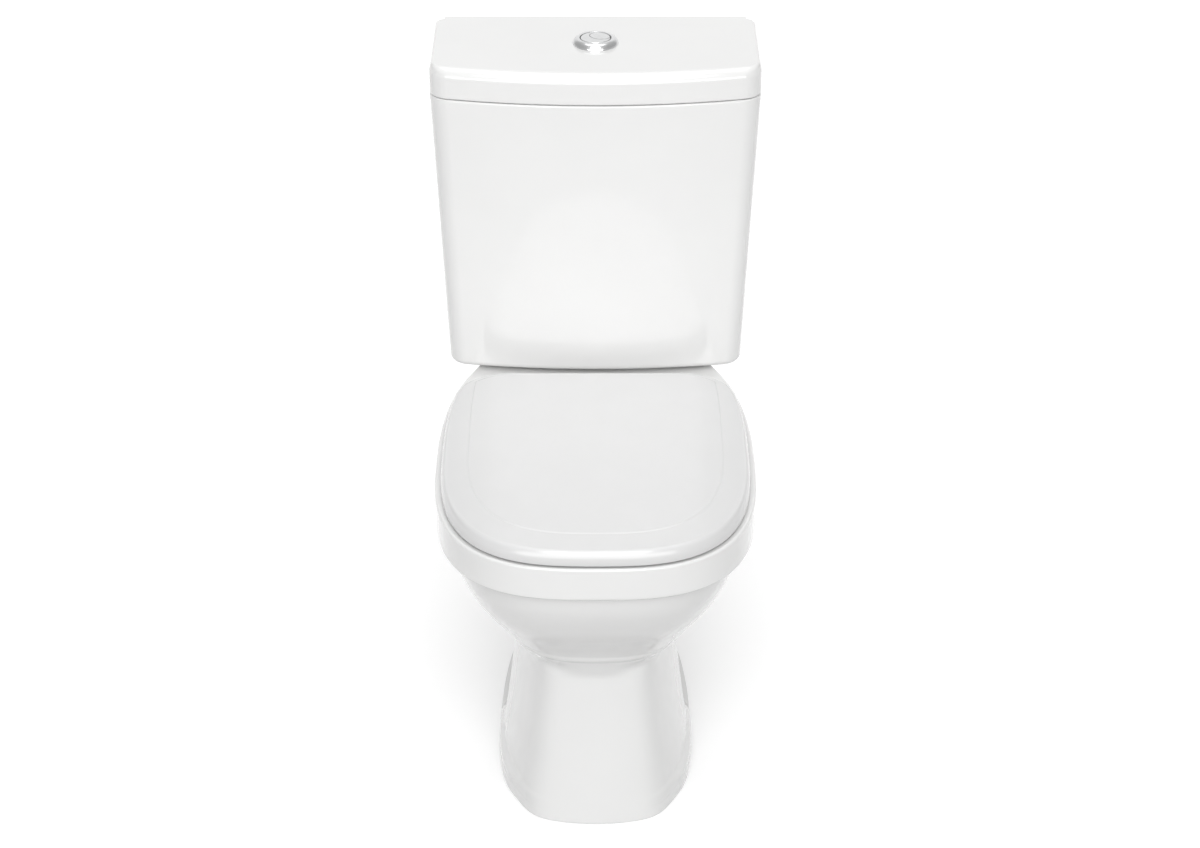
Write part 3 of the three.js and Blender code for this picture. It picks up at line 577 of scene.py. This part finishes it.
def open_underside():
    """The hollow of the pedestal, open to the floor."""
    heights = [-2, 20, 60, 100, 150, 200, 225, 245]
    rows = [column_reach(np.interp(z, *np.transpose(COLUMN))) for z in heights]
    rows = [np.minimum(row, skin) for row, skin in zip(rows, body_reaches(heights))]
    rings = [ring_at(row - PEDESTAL_WALL, PAN_CENTRE, z) for z, row in zip(heights, rows)]
    front_void = loft("front_void", rings)
    back_rings = []
    for z, rear in [[18, 202], [150, 202], [230, 228], [300, 264], [340, 280]]:
        back_rings.append(ring_at(reach(slab(BACK_HALF - 11, -60, rear + 40, 8), PAN_CENTRE), PAN_CENTRE, z))
    hollow = join(front_void, loft("back_void", back_rings))
    return cut(hollow, bowl_skin(), trap_skin(), pipe("flush_skin", route(**FLUSH_ROUTE), FLUSH_OUTER))


def hole(name, x, y, radius, low, high, facets=48):
    return rod(name, (x, y, low), (x, y, high), radius, facets)


def build_pan():
    pan = pan_outside()
    cut(pan, open_underside())
    join(pan, trap_skin())
    cut(pan, bowl_space(), pipe("trap_way", route(**TRAP_ROUTE), TRAP_INNER))
    cut(pan, rod("outlet", (0, OUTLET_START + 10, OUTLET_Z), (0, OUTLET_END + 1, OUTLET_Z), OUTLET_INNER, 80))
    cut(pan, pipe("flush_way", route(**FLUSH_ROUTE), FLUSH_INNER))
    holes = [
        hole("recess", 0, VALVE[1], RECESS_RADIUS, RIM_TOP - RECESS_DEEP, RIM_TOP + 1, 80),
        hole("passage", 0, VALVE[1], PASSAGE_RADIUS, RIM_TOP - 50, RIM_TOP - RECESS_DEEP + 1, 64),
    ]
    for suffix in ("left", "right"):
        seat_x, seat_y, _ = middle(f"seat_bolt_{suffix}")
        bolt_x, bolt_y, _ = middle(f"coupling_bolt_{suffix}")
        screw_x, screw_y, _ = middle(f"floor_screw_{suffix}")
        holes.append(hole("seat_hole", seat_x, seat_y, 5.5, RIM_BOTTOM - 6, RIM_TOP + 1))
        holes.append(hole("bolt_hole", bolt_x, bolt_y, 6, RIM_BOTTOM - 6, RIM_TOP + 1))
        holes.append(hole("screw_hole", screw_x, screw_y, 7, -1, FOOT_TOP + 4))
    return cut(pan, *holes)


# ------------------------------------------------------------------ cistern and its lid
TANK_PLAN_TOP = dict(half=TANK_HIGH[0], front=TANK_LOW[1], bow=18, corner=28, rear_corner=20)
TANK_PLAN_BOTTOM = dict(half=174, front=TANK_LOW[1] + 7, bow=12.5, corner=24, rear_corner=18)
TANK_WALL = 9.0
TANK_FLOOR = TANK_LOW[2] + 12
TANK_EDGE = 7.0  # rounding of the cistern's lower edge
TANK_FILLET = 14  # rounding inside, along its floor
COVER_EDGE = 12.0  # rounding of the cover's upper edge
COVER_THICK = 9
BUTTON_HOLE = 20


def tank_outline(plan, inset=0.0):
    """Flat back, rounded corners and a front that bows forward."""
    half, front, bow = plan["half"] - inset, plan["front"] + inset, plan["bow"]
    r, rear_r = max(plan["corner"] - inset, 3), max(plan["rear_corner"] - inset, 3)
    run = half - r
    tilt = math.atan(2 * bow / run)
    edge = run + r * math.sin(tilt)
    centre_y = front + bow * (edge / run) ** 2 + r * math.cos(tilt)
    rear = WALL - inset
    points = [(x, front + bow * (x / run) ** 2) for x in np.linspace(-edge, edge, 61)[1:-1]]

    def arc(x, y, radius, start, end, steps):
        for turn in np.linspace(start, end, steps):
            points.append((x + radius * math.cos(turn), y + radius * math.sin(turn)))

    arc(run, centre_y, r, tilt - math.pi / 2, 0, 16)
    points.extend((half, y) for y in np.linspace(centre_y, rear - rear_r, 14)[1:-1])
    arc(half - rear_r, rear - rear_r, rear_r, 0, math.pi / 2, 12)
    points.extend((x, rear) for x in np.linspace(half - rear_r, rear_r - half, 30)[1:-1])
    arc(rear_r - half, rear - rear_r, rear_r, math.pi / 2, math.pi, 12)
    points.extend((-half, y) for y in np.linspace(rear - rear_r, centre_y, 14)[1:-1])
    arc(-run, centre_y, r, math.pi, 1.5 * math.pi - tilt, 16)
    return np.array(points)


def tank_ring(z, inset=0.0):
    share = (z - TANK_LOW[2]) / (TANK_HIGH[2] - TANK_LOW[2])
    plan = {}
    for key, low in TANK_PLAN_BOTTOM.items():
        plan[key] = low + share * (TANK_PLAN_TOP[key] - low)
    outline = tank_outline(plan, inset)
    return np.column_stack([outline, np.full(len(outline), z)])


def build_cistern():
    low, high = TANK_LOW[2], TANK_HIGH[2]
    rings = []
    for turn in quarter(10, 0.0):
        rings.append(tank_ring(low + TANK_EDGE * (1 - math.cos(turn)), TANK_EDGE * (1 - math.sin(turn))))
    for z in np.linspace(low + TANK_EDGE, high - 2, 24)[1:]:
        rings.append(tank_ring(z))
    for turn in quarter(4)[1:]:
        rings.append(tank_ring(high - 2 * (1 - math.sin(turn)), 2 * (1 - math.cos(turn))))
    for turn in quarter(4):
        rings.append(tank_ring(high - 1.5 * (1 - math.cos(turn)), TANK_WALL - 1.5 + 1.5 * math.sin(turn)))
    for z in np.linspace(high - 4, TANK_FLOOR + TANK_FILLET, 12):
        rings.append(tank_ring(z, TANK_WALL))
    for turn in quarter(7)[1:]:
        rings.append(tank_ring(TANK_FLOOR + TANK_FILLET * (1 - math.sin(turn)),
                               TANK_WALL + TANK_FILLET * (1 - math.cos(turn))))
    tank = loft("cistern_glazed", rings)
    holes = [
        hole("valve_hole", 0, VALVE[1], 31, low - 1, TANK_FLOOR + 1, 64),
        hole("inlet_hole", FILL[0], FILL[1], 10.5, low - 1, TANK_FLOOR + 9),
    ]
    for suffix in ("left", "right"):
        bolt_x, bolt_y, _ = middle(f"coupling_bolt_{suffix}")
        holes.append(hole("bolt_hole", bolt_x, bolt_y, 6, low - 1, TANK_FLOOR + 1))
    return cut(tank, *holes)


def cover_ring(z, inset=0.0):
    """The cover's outline: its rounded edge is fuller at the front than at the sides and the back."""
    plan = dict(TANK_PLAN_TOP, half=TANK_PLAN_TOP["half"] + 0.6 * min(inset, COVER_EDGE))
    outline = tank_outline(plan, inset)
    behind = outline[:, 1] > WALL - inset - 1e-6
    outline[behind, 1] += 0.8 * min(inset, COVER_EDGE)
    return np.column_stack([outline, np.full(len(outline), z)])


def build_cistern_lid():
    lip, seat, top = COVER_LOW[2], TANK_HIGH[2] + 1.0, COVER_HIGH[2]
    ceiling = top - COVER_THICK
    rings = [cover_ring(ceiling, 60), cover_ring(ceiling, 24)]
    for turn in quarter(5)[1:]:
        rings.append(cover_ring(ceiling - 8 * (1 - math.cos(turn)), 16 + 8 * (1 - math.sin(turn))))
    rings += [cover_ring(z, 16) for z in (ceiling - 16, lip + 2, lip + 0.6)]
    rings += [cover_ring(lip, 15), cover_ring(lip, 12), cover_ring(lip + 0.6, 11.2), cover_ring(lip + 2, 11)]
    rings += [cover_ring(seat - 0.6, 11), cover_ring(seat, 10.5), cover_ring(seat, 2.2)]
    for turn in quarter(5)[1:]:
        rings.append(cover_ring(seat + 1.8 * (1 - math.cos(turn)), 1.8 * (1 - math.sin(turn))))
    for z in np.linspace(seat + 3, top - COVER_EDGE, 5):
        rings.append(cover_ring(z))
    for turn in quarter(14)[1:]:
        rings.append(cover_ring(top - COVER_EDGE * (1 - math.sin(turn)), COVER_EDGE * (1 - math.cos(turn))))
    rings += [cover_ring(top, inset) for inset in (18, 30, 60)]
    lid = outward(loft("cistern_lid_glazed", rings))
    return cut(lid, hole("button_hole", 0, BUTTON[1], BUTTON_HOLE, ceiling - 1, top + 1, 64))


# ------------------------------------------------------------------ flush buttons
BORE = 18.3  # the bezel's bore
GUIDE_RADIUS = 19.5
PRESS_GAP = 0.6
FULL_RADIUS = 17.45
HALF_RADIUS, HALF_X, HALF_Y = 12.2, 5.6, 5.0
KEY_SPAN = (700, 800)  # heights well below and above the keys, to divide them right through


def build_bezel():
    x, y, _ = BUTTON
    low, high = BEZEL_LOW[2], BEZEL_HIGH[2]
    seat = COVER_HIGH[2] + 0.3
    outer = BEZEL_HIGH[0]
    profile = [(BORE, low + 3), (GUIDE_RADIUS, low + 3), (GUIDE_RADIUS, seat), (outer, seat)]
    for turn in quarter(14)[1:]:
        profile.append((outer - 5.6 * (1 - math.cos(turn)) - 0.9 * math.sin(turn),
                        seat + 0.4 + (high - seat - 0.4) * math.sin(turn)))
    profile += [(BORE + 0.9, high), (BORE + 0.25, high - 0.3), (BORE, high - 1.0)]
    ring = turned("bezel_chrome", x, y, profile, 128)
    guide = hole("guide", x, y, GUIDE_RADIUS, low, low + 4, 128)
    rods = []
    for which in ("full", "half"):
        rod_x, rod_y, _ = middle(f"{which}_push_rod")
        rods.append(hole("rod_hole", rod_x, rod_y, 3.1, low - 1, low + 5))
    return cut(join(ring, guide), *rods)


def button_blank(name, radius, x=0.0, y=0.0, crown=0.9, margin=0.0):
    """A round key with a soft edge and a slightly crowned top."""
    low, high = box("full_flush_button")
    top = high[2] + margin
    profile = [(0, low[2] - margin), (radius, low[2] - margin)]
    for turn in quarter(6):
        profile.append((radius - 0.7 * (1 - math.cos(turn)), top - crown - 0.7 * (1 - math.sin(turn))))
    for share in np.linspace(0.85, 0, 7):
        profile.append((radius * share, top - crown * share ** 2))
    return turned(name, BUTTON[0] + x, BUTTON[1] + y, profile, 128)


def build_buttons():
    """A full disc with a round bite taken out, and the key that fills the bite."""
    full = cut(button_blank("full_button_chrome", FULL_RADIUS),
               hole("gap", HALF_X, BUTTON[1] + HALF_Y, HALF_RADIUS + PRESS_GAP, *KEY_SPAN, 128))
    half = common(button_blank("half_button_chrome", FULL_RADIUS),
                  hole("key", HALF_X, BUTTON[1] + HALF_Y, HALF_RADIUS, *KEY_SPAN, 128))
    return full, half


# ------------------------------------------------------------------ seat
SEAT_CENTRE = -110.0
LID = dict(half=LID_HIGH[0], front=LID_LOW[1], widest=-85, rear=236, power=2.9, rear_power=2.5)
LID_BOTTOM = LID_LOW[2]
LID_TOP = LID_HIGH[2] - 1.3
LID_ROUND, LID_ROUND_DEEP = 6.0, 14.0  # how far the lid's rounded edge reaches in and down
LID_WALL = 3.0
LID_ROLL = 10.1
LID_BACK = LID_HIGH[1]
CEILING = LID_TOP - 2.8
PANEL = dict(half=143, front=-280, widest=-70, rear=260, power=2.9, rear_power=3.2)
PANEL_BACK = 150.0
LID_CORNER = 78.0
RING = dict(half=RING_HIGH[0], front=RING_LOW[1], widest=-85, rear=215, power=2.9, rear_power=2.5)
RING_HOLE = dict(half=106, front=-252, widest=-100, rear=26, power=2.4)
RING_BACK = 82.0
RING_TOP = 415.2
LUG = 12.0
HINGE_HALF = 9.0
BARREL, PIN_BORE = 6.5, 3.3
BORE_END = 130  # past the outer end of both hinge pins


def backed(plan, inset, back, corner):
    """An oval cut off by a straight rear edge."""
    line = rear_line(back - inset, SEAT_CENTRE)
    return smooth_min(reach(inset_oval(plan, inset), SEAT_CENTRE), line, corner)


def seat_ring_at(radii, z):
    return ring_at(radii, SEAT_CENTRE, z)


def lid_outside():
    """The lid as a solid: a rolled edge round a slightly raised panel."""
    rings = [seat_ring_at(backed(LID, 1.0, LID_BACK, LID_CORNER), LID_BOTTOM),
             seat_ring_at(backed(LID, 0.3, LID_BACK, LID_CORNER), LID_BOTTOM + 0.3),
             seat_ring_at(backed(LID, 0.0, LID_BACK, LID_CORNER), LID_BOTTOM + 1.0)]
    rings.append(seat_ring_at(backed(LID, 0, LID_BACK, LID_CORNER), LID_TOP - LID_ROUND_DEEP))
    for turn in quarter(14)[1:]:
        inset = LID_ROUND * (1 - math.cos(turn))
        z = LID_TOP - LID_ROUND_DEEP * (1 - math.sin(turn))
        rings.append(seat_ring_at(backed(LID, inset, LID_BACK, LID_CORNER), z))
    outer = backed(LID, 7, LID_BACK, LID_CORNER)
    panel = backed(PANEL, -2.0, PANEL_BACK, 26)
    panel = np.minimum(panel, outer - 2)
    for share in (0, 0.25, 0.5, 0.75):
        rings.append(seat_ring_at(outer * (1 - share) + panel * share, LID_TOP + 0.1 * share))
    step_high = LID_HIGH[2] - LID_TOP
    for share in np.linspace(0, 1, 8):
        rise = share * share * (3 - 2 * share)
        rings.append(seat_ring_at(panel - 2.6 * share, LID_TOP + 0.1 + (step_high - 0.4) * rise))
    for share in (0.97, 0.9, 0.75, 0.55, 0.35, 0.15):
        rings.append(seat_ring_at((panel - 2.6) * share, LID_HIGH[2] - 0.3 * share ** 2))
    return loft("seat_lid_moulded", rings)


def lug_spans(near):
    """From where to where the left and the right lug run."""
    return [(-near - LUG, -near), (near, near + LUG)]


def knuckle(name, left, right, plate_end, low, high):
    """A barrel round the hinge axis, with its web to the plate."""
    barrel = rod(name, (left, HINGE_Y, HINGE_Z), (right, HINGE_Y, HINGE_Z), BARREL, 64, 0.6)
    return join(barrel, block("web", (left, plate_end, low), (right, HINGE_Y - 2, high), 0.6))


def cross_rod(name, radius, left, right, facets=96):
    return rod(name, (left, HINGE_Y, HINGE_Z), (right, HINGE_Y, HINGE_Z), radius, facets)


def build_seat_lid():
    inner_near = middle("hinge_post_right")[0] - HINGE_HALF - 1 - LUG
    half_span = PIN_HIGH[0] + 3
    lid = lid_outside()
    ahead = block("ahead", (-250, -400, 380), (250, HINGE_Y, 440))
    common(lid, join(ahead, cross_rod("roll", LID_ROLL, -240, 240, 128)))
    hollow = []
    for turn in [0, *quarter(6)]:
        z = CEILING - 3 * (1 - math.sin(turn)) if turn else LID_BOTTOM - 2
        inset = LID_WALL + 3 * (1 - math.cos(turn))
        line = rear_line(HINGE_Y - (inset - LID_WALL), SEAT_CENTRE)
        radii = smooth_min(reach(inset_oval(LID, inset), SEAT_CENTRE), line, LID_CORNER - 4)
        hollow.append(seat_ring_at(radii, z))
    hinge_space = cross_rod("hinge_space", LID_ROLL - LID_WALL + 0.4, -half_span, half_span)
    cut(lid, loft("hollow", hollow), hinge_space)
    cut(lid, block("under", (-half_span, HINGE_Y - 8, 395), (half_span, HINGE_Y + 14, HINGE_Z)))
    for left, right in lug_spans(inner_near):
        join(lid, knuckle("knuckle", left, right, RING_BACK + 3, HINGE_Z - 0.5, CEILING + 1))
    return cut(lid, cross_rod("bore", PIN_BORE, -BORE_END, BORE_END, 48))


def build_seat_ring():
    """A moulded ring with a crowned top that falls to a soft inner edge."""
    low, high = RING_LOW[2], RING_TOP

    def outer(inset):
        return backed(RING, inset, RING_BACK, LID_CORNER)

    def inner(grow):
        return reach(inset_oval(RING_HOLE, -grow), SEAT_CENTRE)

    rows = [(outer(1.2), low), (outer(0.3), low + 0.8), (outer(0), low + 2.5), (outer(0), high - 5)]
    rows += [(outer(5 * (1 - math.cos(t))), high - 5 * (1 - math.sin(t))) for t in quarter(8)[1:]]
    ridge_outer, ridge_inner = outer(5), inner(12)
    rows += [(ridge_outer * (1 - s) + ridge_inner * s, high - 0.5 * s * s) for s in (0.25, 0.5, 0.75, 1.0)]
    for t in quarter(10)[1:]:
        rows.append((inner(12 * (1 - math.sin(t))), high - 0.5 - 6.2 * (1 - math.cos(t))))
    rows += [(inner(0.4), low + 2), (inner(1.4), low)]
    rings = [seat_ring_at(radii, z) for radii, z in rows]
    ring = outward(loft("seat_ring_moulded", rings, ends=False))
    near = PIN_HIGH[0] - 1 - LUG
    for left, right in lug_spans(near):
        join(ring, knuckle("knuckle", left, right, RING_BACK - 4, 405, 414.5))
    return cut(ring, cross_rod("bore", PIN_BORE, -BORE_END, BORE_END, 48))


def build_hinge_post(suffix):
    x, y, _ = middle(f"seat_bolt_{suffix}")
    left, right = x - HINGE_HALF, x + HINGE_HALF
    seat = RIM_TOP + 0.3
    profile = [(0, seat), (8.5, seat), (8.5, seat + 2.5), (0, seat + 2.5)]
    post = turned(f"hinge_post_chrome_{suffix}", x, y, profile, 80, 0.8)
    join(post, block("neck", (left, RING_BACK + 0.5, seat + 2), (right, HINGE_Y - 1, HINGE_Z), 1.0))
    join(post, rod("barrel", (left, HINGE_Y, HINGE_Z), (right, HINGE_Y, HINGE_Z), BARREL, 80, 0.8))
    cut(post, cross_rod("bore", PIN_BORE, left - 1, right + 1, 48))
    return cut(post, hole("bolt_socket", x, y, 3.3, RIM_TOP, box(f"seat_bolt_{suffix}")[1][2] + 0.3))


# ------------------------------------------------------------------ materials
def noise(tree, coords, scale, detail=3.0, roughness=0.55):
    node = tree.nodes.new("ShaderNodeTexNoise")
    node.inputs["Scale"].default_value = scale
    node.inputs["Detail"].default_value = detail
    node.inputs["Roughness"].default_value = roughness
    tree.links.new(coords, node.inputs["Vector"])
    return node.outputs["Fac"]


def ramp(tree, value, low, high):
    """Spreads a noise's middle values from low to high."""
    node = tree.nodes.new("ShaderNodeMapRange")
    node.inputs["From Min"].default_value = 0.3
    node.inputs["From Max"].default_value = 0.7
    node.inputs["To Min"].default_value = low
    node.inputs["To Max"].default_value = high
    tree.links.new(value, node.inputs["Value"])
    return node.outputs["Result"]


def finish(name, colour, other, roughness, metallic=0.0, patch=18.0, grain=900.0, grain_depth=0.00002,
           wave=0.0, wave_depth=0.0, coat=0.0, stretch=(1, 1, 1)):
    """A surface whose colour and roughness wander a little, with a fine grain and a slow waviness."""
    material = bpy.data.materials.new(name)
    material.use_nodes = True
    tree = material.node_tree
    shader = tree.nodes["Principled BSDF"]
    shader.inputs["Metallic"].default_value = metallic
    shader.inputs["Coat Weight"].default_value = coat
    shader.inputs["Coat Roughness"].default_value = 0.04
    place = tree.nodes.new("ShaderNodeTexCoord")
    mapping = tree.nodes.new("ShaderNodeMapping")
    mapping.inputs["Scale"].default_value = stretch
    tree.links.new(place.outputs["Object"], mapping.inputs["Vector"])
    coords = mapping.outputs["Vector"]
    mix = tree.nodes.new("ShaderNodeMix")
    mix.data_type = "RGBA"
    mix.inputs["A"].default_value = (*colour, 1)
    mix.inputs["B"].default_value = (*other, 1)
    tree.links.new(ramp(tree, noise(tree, coords, patch), 0, 1), mix.inputs["Factor"])
    tree.links.new(mix.outputs["Result"], shader.inputs["Base Color"])
    tree.links.new(ramp(tree, noise(tree, coords, patch * 6, 5), *roughness), shader.inputs["Roughness"])
    bump = tree.nodes.new("ShaderNodeBump")
    bump.inputs["Distance"].default_value = grain_depth
    tree.links.new(noise(tree, coords, grain), bump.inputs["Height"])
    if wave:
        slow = tree.nodes.new("ShaderNodeBump")
        slow.inputs["Distance"].default_value = wave_depth
        tree.links.new(noise(tree, coords, wave, 1.0), slow.inputs["Height"])
        tree.links.new(slow.outputs["Normal"], bump.inputs["Normal"])
    tree.links.new(bump.outputs["Normal"], shader.inputs["Normal"])
    return material


CERAMIC = finish("vitreous_china", (0.81, 0.81, 0.805), (0.795, 0.795, 0.79), (0.06, 0.12), patch=9,
                 grain=420, grain_depth=0.000001, wave=22, wave_depth=0.00005, coat=0.8)
SEAT_PLASTIC = finish("seat_thermoset", (0.70, 0.70, 0.70), (0.688, 0.688, 0.688), (0.12, 0.19), patch=14,
                      grain=700, grain_depth=0.00001, wave=15, wave_depth=0.0001, coat=0.5)
CHROME = finish("chrome_plate", (0.88, 0.885, 0.89), (0.83, 0.835, 0.84), (0.17, 0.26), metallic=1.0,
                patch=60, grain=1500, grain_depth=0.000004)
STEEL = finish("zinc_steel", (0.50, 0.51, 0.52), (0.40, 0.41, 0.43), (0.25, 0.42), metallic=1.0, patch=120,
               grain=2500, grain_depth=0.00002)
BRASS = finish("brass_turned", (0.62, 0.42, 0.16), (0.50, 0.33, 0.12), (0.25, 0.42), metallic=1.0, patch=90,
               grain=2500, grain_depth=0.00002)
WHITE_PLASTIC = finish("white_moulded", (0.74, 0.74, 0.72), (0.70, 0.70, 0.67), (0.32, 0.46), patch=40,
                       grain=1600, grain_depth=0.00003)
GREY_PLASTIC = finish("grey_moulded", (0.27, 0.29, 0.31), (0.23, 0.25, 0.27), (0.36, 0.50), patch=40,
                      grain=1600, grain_depth=0.00004)
BLUE_PLASTIC = finish("blue_moulded", (0.04, 0.14, 0.34), (0.035, 0.11, 0.29), (0.30, 0.44), patch=40,
                      grain=1600, grain_depth=0.00003)
RUBBER = finish("black_rubber", (0.022, 0.022, 0.022), (0.035, 0.034, 0.033), (0.62, 0.82), patch=50,
                grain=2200, grain_depth=0.00008)
BUFFER = finish("soft_buffer", (0.68, 0.68, 0.66), (0.63, 0.63, 0.60), (0.50, 0.66), patch=60,
                grain=2000, grain_depth=0.00005)
FLOOR = finish("pale_floor", (0.92, 0.92, 0.92), (0.91, 0.91, 0.91), (0.75, 0.85), patch=2, grain=60,
               grain_depth=0.00005)
FLOOR.node_tree.nodes["Principled BSDF"].inputs["Emission Color"].default_value = (1, 1, 1, 1)
FLOOR.node_tree.nodes["Principled BSDF"].inputs["Emission Strength"].default_value = 0.16


# ------------------------------------------------------------------ build everything
finish_surface(build_pan(), CERAMIC, "toilet", ["pan"])
finish_surface(build_cistern(), CERAMIC, "toilet", ["cistern"])
finish_surface(build_cistern_lid(), CERAMIC, "cistern_cover", ["cistern_lid"])
finish_surface(build_bezel(), CHROME, "cistern_cover", ["button_bezel"])
full_button, half_button = build_buttons()
finish_surface(full_button, CHROME, "full_button", ["full_flush_button"])
finish_surface(half_button, CHROME, "half_button", ["half_flush_button"])
finish_surface(build_seat_lid(), SEAT_PLASTIC, "lid", ["seat_lid"])
finish_surface(build_seat_ring(), SEAT_PLASTIC, "seat", ["seat_ring"])
for suffix in ("left", "right"):
    finish_surface(build_hinge_post(suffix), CHROME, "toilet", [f"hinge_post_{suffix}"])


def smooth_faces():
    """A modifier group that shades faces smooth, except across sharp edges."""
    group = bpy.data.node_groups.new("smooth_faces", "GeometryNodeTree")
    group.interface.new_socket("Geometry", in_out="INPUT", socket_type="NodeSocketGeometry")
    group.interface.new_socket("Geometry", in_out="OUTPUT", socket_type="NodeSocketGeometry")
    start, end = group.nodes.new("NodeGroupInput"), group.nodes.new("NodeGroupOutput")
    faces = group.nodes.new("GeometryNodeSetShadeSmooth")
    edges = group.nodes.new("GeometryNodeSetShadeSmooth")
    edges.domain = "EDGE"
    angle = group.nodes.new("GeometryNodeInputMeshEdgeAngle")
    gentle = group.nodes.new("FunctionNodeCompare")
    gentle.operation = "LESS_THAN"
    gentle.inputs["B"].default_value = SHARP
    group.links.new(angle.outputs["Unsigned Angle"], gentle.inputs["A"])
    group.links.new(gentle.outputs["Result"], edges.inputs["Shade Smooth"])
    group.links.new(start.outputs["Geometry"], faces.inputs["Geometry"])
    group.links.new(faces.outputs["Geometry"], edges.inputs["Geometry"])
    group.links.new(edges.outputs["Geometry"], end.inputs["Geometry"])
    return group


SMOOTH_FACES = smooth_faces()
EDGE_BEVEL = 0.0004  # metres
NODE_FINISH = {
    "steel": STEEL, "brass": BRASS, "white_plastic": WHITE_PLASTIC, "grey_plastic": GREY_PLASTIC,
    "blue_plastic": BLUE_PLASTIC, "rubber": RUBBER, "soft_buffer": BUFFER, "chrome": CHROME,
    "ceramic": CERAMIC, "seat_plastic": SEAT_PLASTIC,
}
for name, node in NODES.items():
    if node.hide_render:
        continue
    slots = [m.name for m in node.data.materials if m]
    kind = next((key for key in NODE_FINISH if slots and slots[0].startswith(key)), "white_plastic")
    node.data.materials.clear()
    node.data.materials.append(NODE_FINISH[kind])
    bevel = node.modifiers.new("edge", "BEVEL")
    bevel.width = EDGE_BEVEL
    bevel.segments = 2
    bevel.limit_method = "ANGLE"
    bevel.angle_limit = math.radians(38)
    bevel.use_clamp_overlap = True
    node.modifiers.new("smooth", "NODES").node_group = SMOOTH_FACES


# ------------------------------------------------------------------ stage
def add_sun(name, towards, strength, spread):
    """A broad soft light from far away, shining along a direction."""
    data = bpy.data.lights.new(name, "SUN")
    data.energy = strength
    data.angle = math.radians(spread)
    light = bpy.data.objects.new(name, data)
    light.rotation_euler = Vector(towards).to_track_quat("-Z", "Y").to_euler()
    bpy.context.scene.collection.objects.link(light)


def add_gloss_strip(name, centre, size, radiance):
    """A long upright soft box facing the toilet, that only shows as highlights in the gloss."""
    data = bpy.data.lights.new(name, "AREA")
    data.shape = "RECTANGLE"
    data.size, data.size_y = size
    data.energy = 4 * size[0] * size[1] * radiance
    light = bpy.data.objects.new(name, data)
    light.location = centre
    light.rotation_euler = (math.pi / 2, 0, 0)
    light.visible_camera = False
    light.visible_diffuse = False
    bpy.context.scene.collection.objects.link(light)


def spread(tree, value, start, end, low, high):
    """A smooth step from low to high as a value goes from start to end."""
    node = tree.nodes.new("ShaderNodeMapRange")
    node.interpolation_type = "SMOOTHSTEP"
    node.inputs["From Min"].default_value = start
    node.inputs["From Max"].default_value = end
    node.inputs["To Min"].default_value = low
    node.inputs["To Max"].default_value = high
    tree.links.new(value, node.inputs["Value"])
    return node.outputs["Result"]


def maths(tree, operation, *values):
    node = tree.nodes.new("ShaderNodeMath")
    node.operation = operation
    node.inputs[2].default_value = 1.0
    for value, socket in zip(values, node.inputs):
        tree.links.new(value, socket)
    return node.outputs["Value"]


def studio_world(strength, sides, front, back):
    """A pale room: darker at the sides and below, bright in front and a little less bright behind."""
    world = bpy.data.worlds.new("studio")
    world.use_nodes = True
    tree = world.node_tree
    place = tree.nodes.new("ShaderNodeTexCoord")
    split = tree.nodes.new("ShaderNodeSeparateXYZ")
    tree.links.new(place.outputs["Generated"], split.inputs["Vector"])
    aside = maths(tree, "ABSOLUTE", split.outputs["X"])
    shade = spread(tree, aside, 0.25, 0.95, 1.0, sides)
    ahead = spread(tree, split.outputs["Y"], -0.95, -0.70, front - 1.0, 0.0)
    above = spread(tree, split.outputs["Z"], 0.0, 0.12, 0.0, 1.0)
    before = maths(tree, "MULTIPLY_ADD", ahead, above)
    behind = spread(tree, split.outputs["Y"], 0.55, 0.85, 1.0, back)
    below = spread(tree, split.outputs["Z"], -0.6, 0.0, 0.76, 1.0)
    level = shade
    for factor in (before, behind, below):
        level = maths(tree, "MULTIPLY", level, factor)
    tree.links.new(level, tree.nodes["Background"].inputs["Color"])
    tree.nodes["Background"].inputs["Strength"].default_value = strength
    bpy.context.scene.world = world


floor_mesh = bpy.data.meshes.new("studio_floor")
floor_mesh.from_pydata([(-12, -12, 0), (12, -12, 0), (12, 12, 0), (-12, 12, 0)], [], [(0, 1, 2, 3)])
floor = make_object("studio_floor", floor_mesh)
floor.data.materials.append(FLOOR)
floor.visible_diffuse = False

add_sun("key_front", (0.0, 0.80, -0.60), 1.56, 40)
add_sun("key_overhead", (0.0, 0.0, -1.0), 0.70, 60)
add_gloss_strip("front_strip", (0.0, -3.0, 0.65), (5.0, 1.2), 2.0)
studio_world(0.58, 0.70, 2.4, 1.5)
bpy.context.scene.view_settings.view_transform = "Standard"

PITCH = math.radians(28.01)
camera_data = bpy.data.cameras.new("camera")
camera_data.lens = 90
camera_data.sensor_width = 36
camera_data.shift_x = 0.00375
camera_data.clip_end = 60
camera = bpy.data.objects.new("camera", camera_data)
camera.location = (0, -3.0647, 2.03484)
camera.rotation_euler = (math.pi / 2 - PITCH, 0, 0)
bpy.context.scene.collection.objects.link(camera)
bpy.context.scene.camera = camera
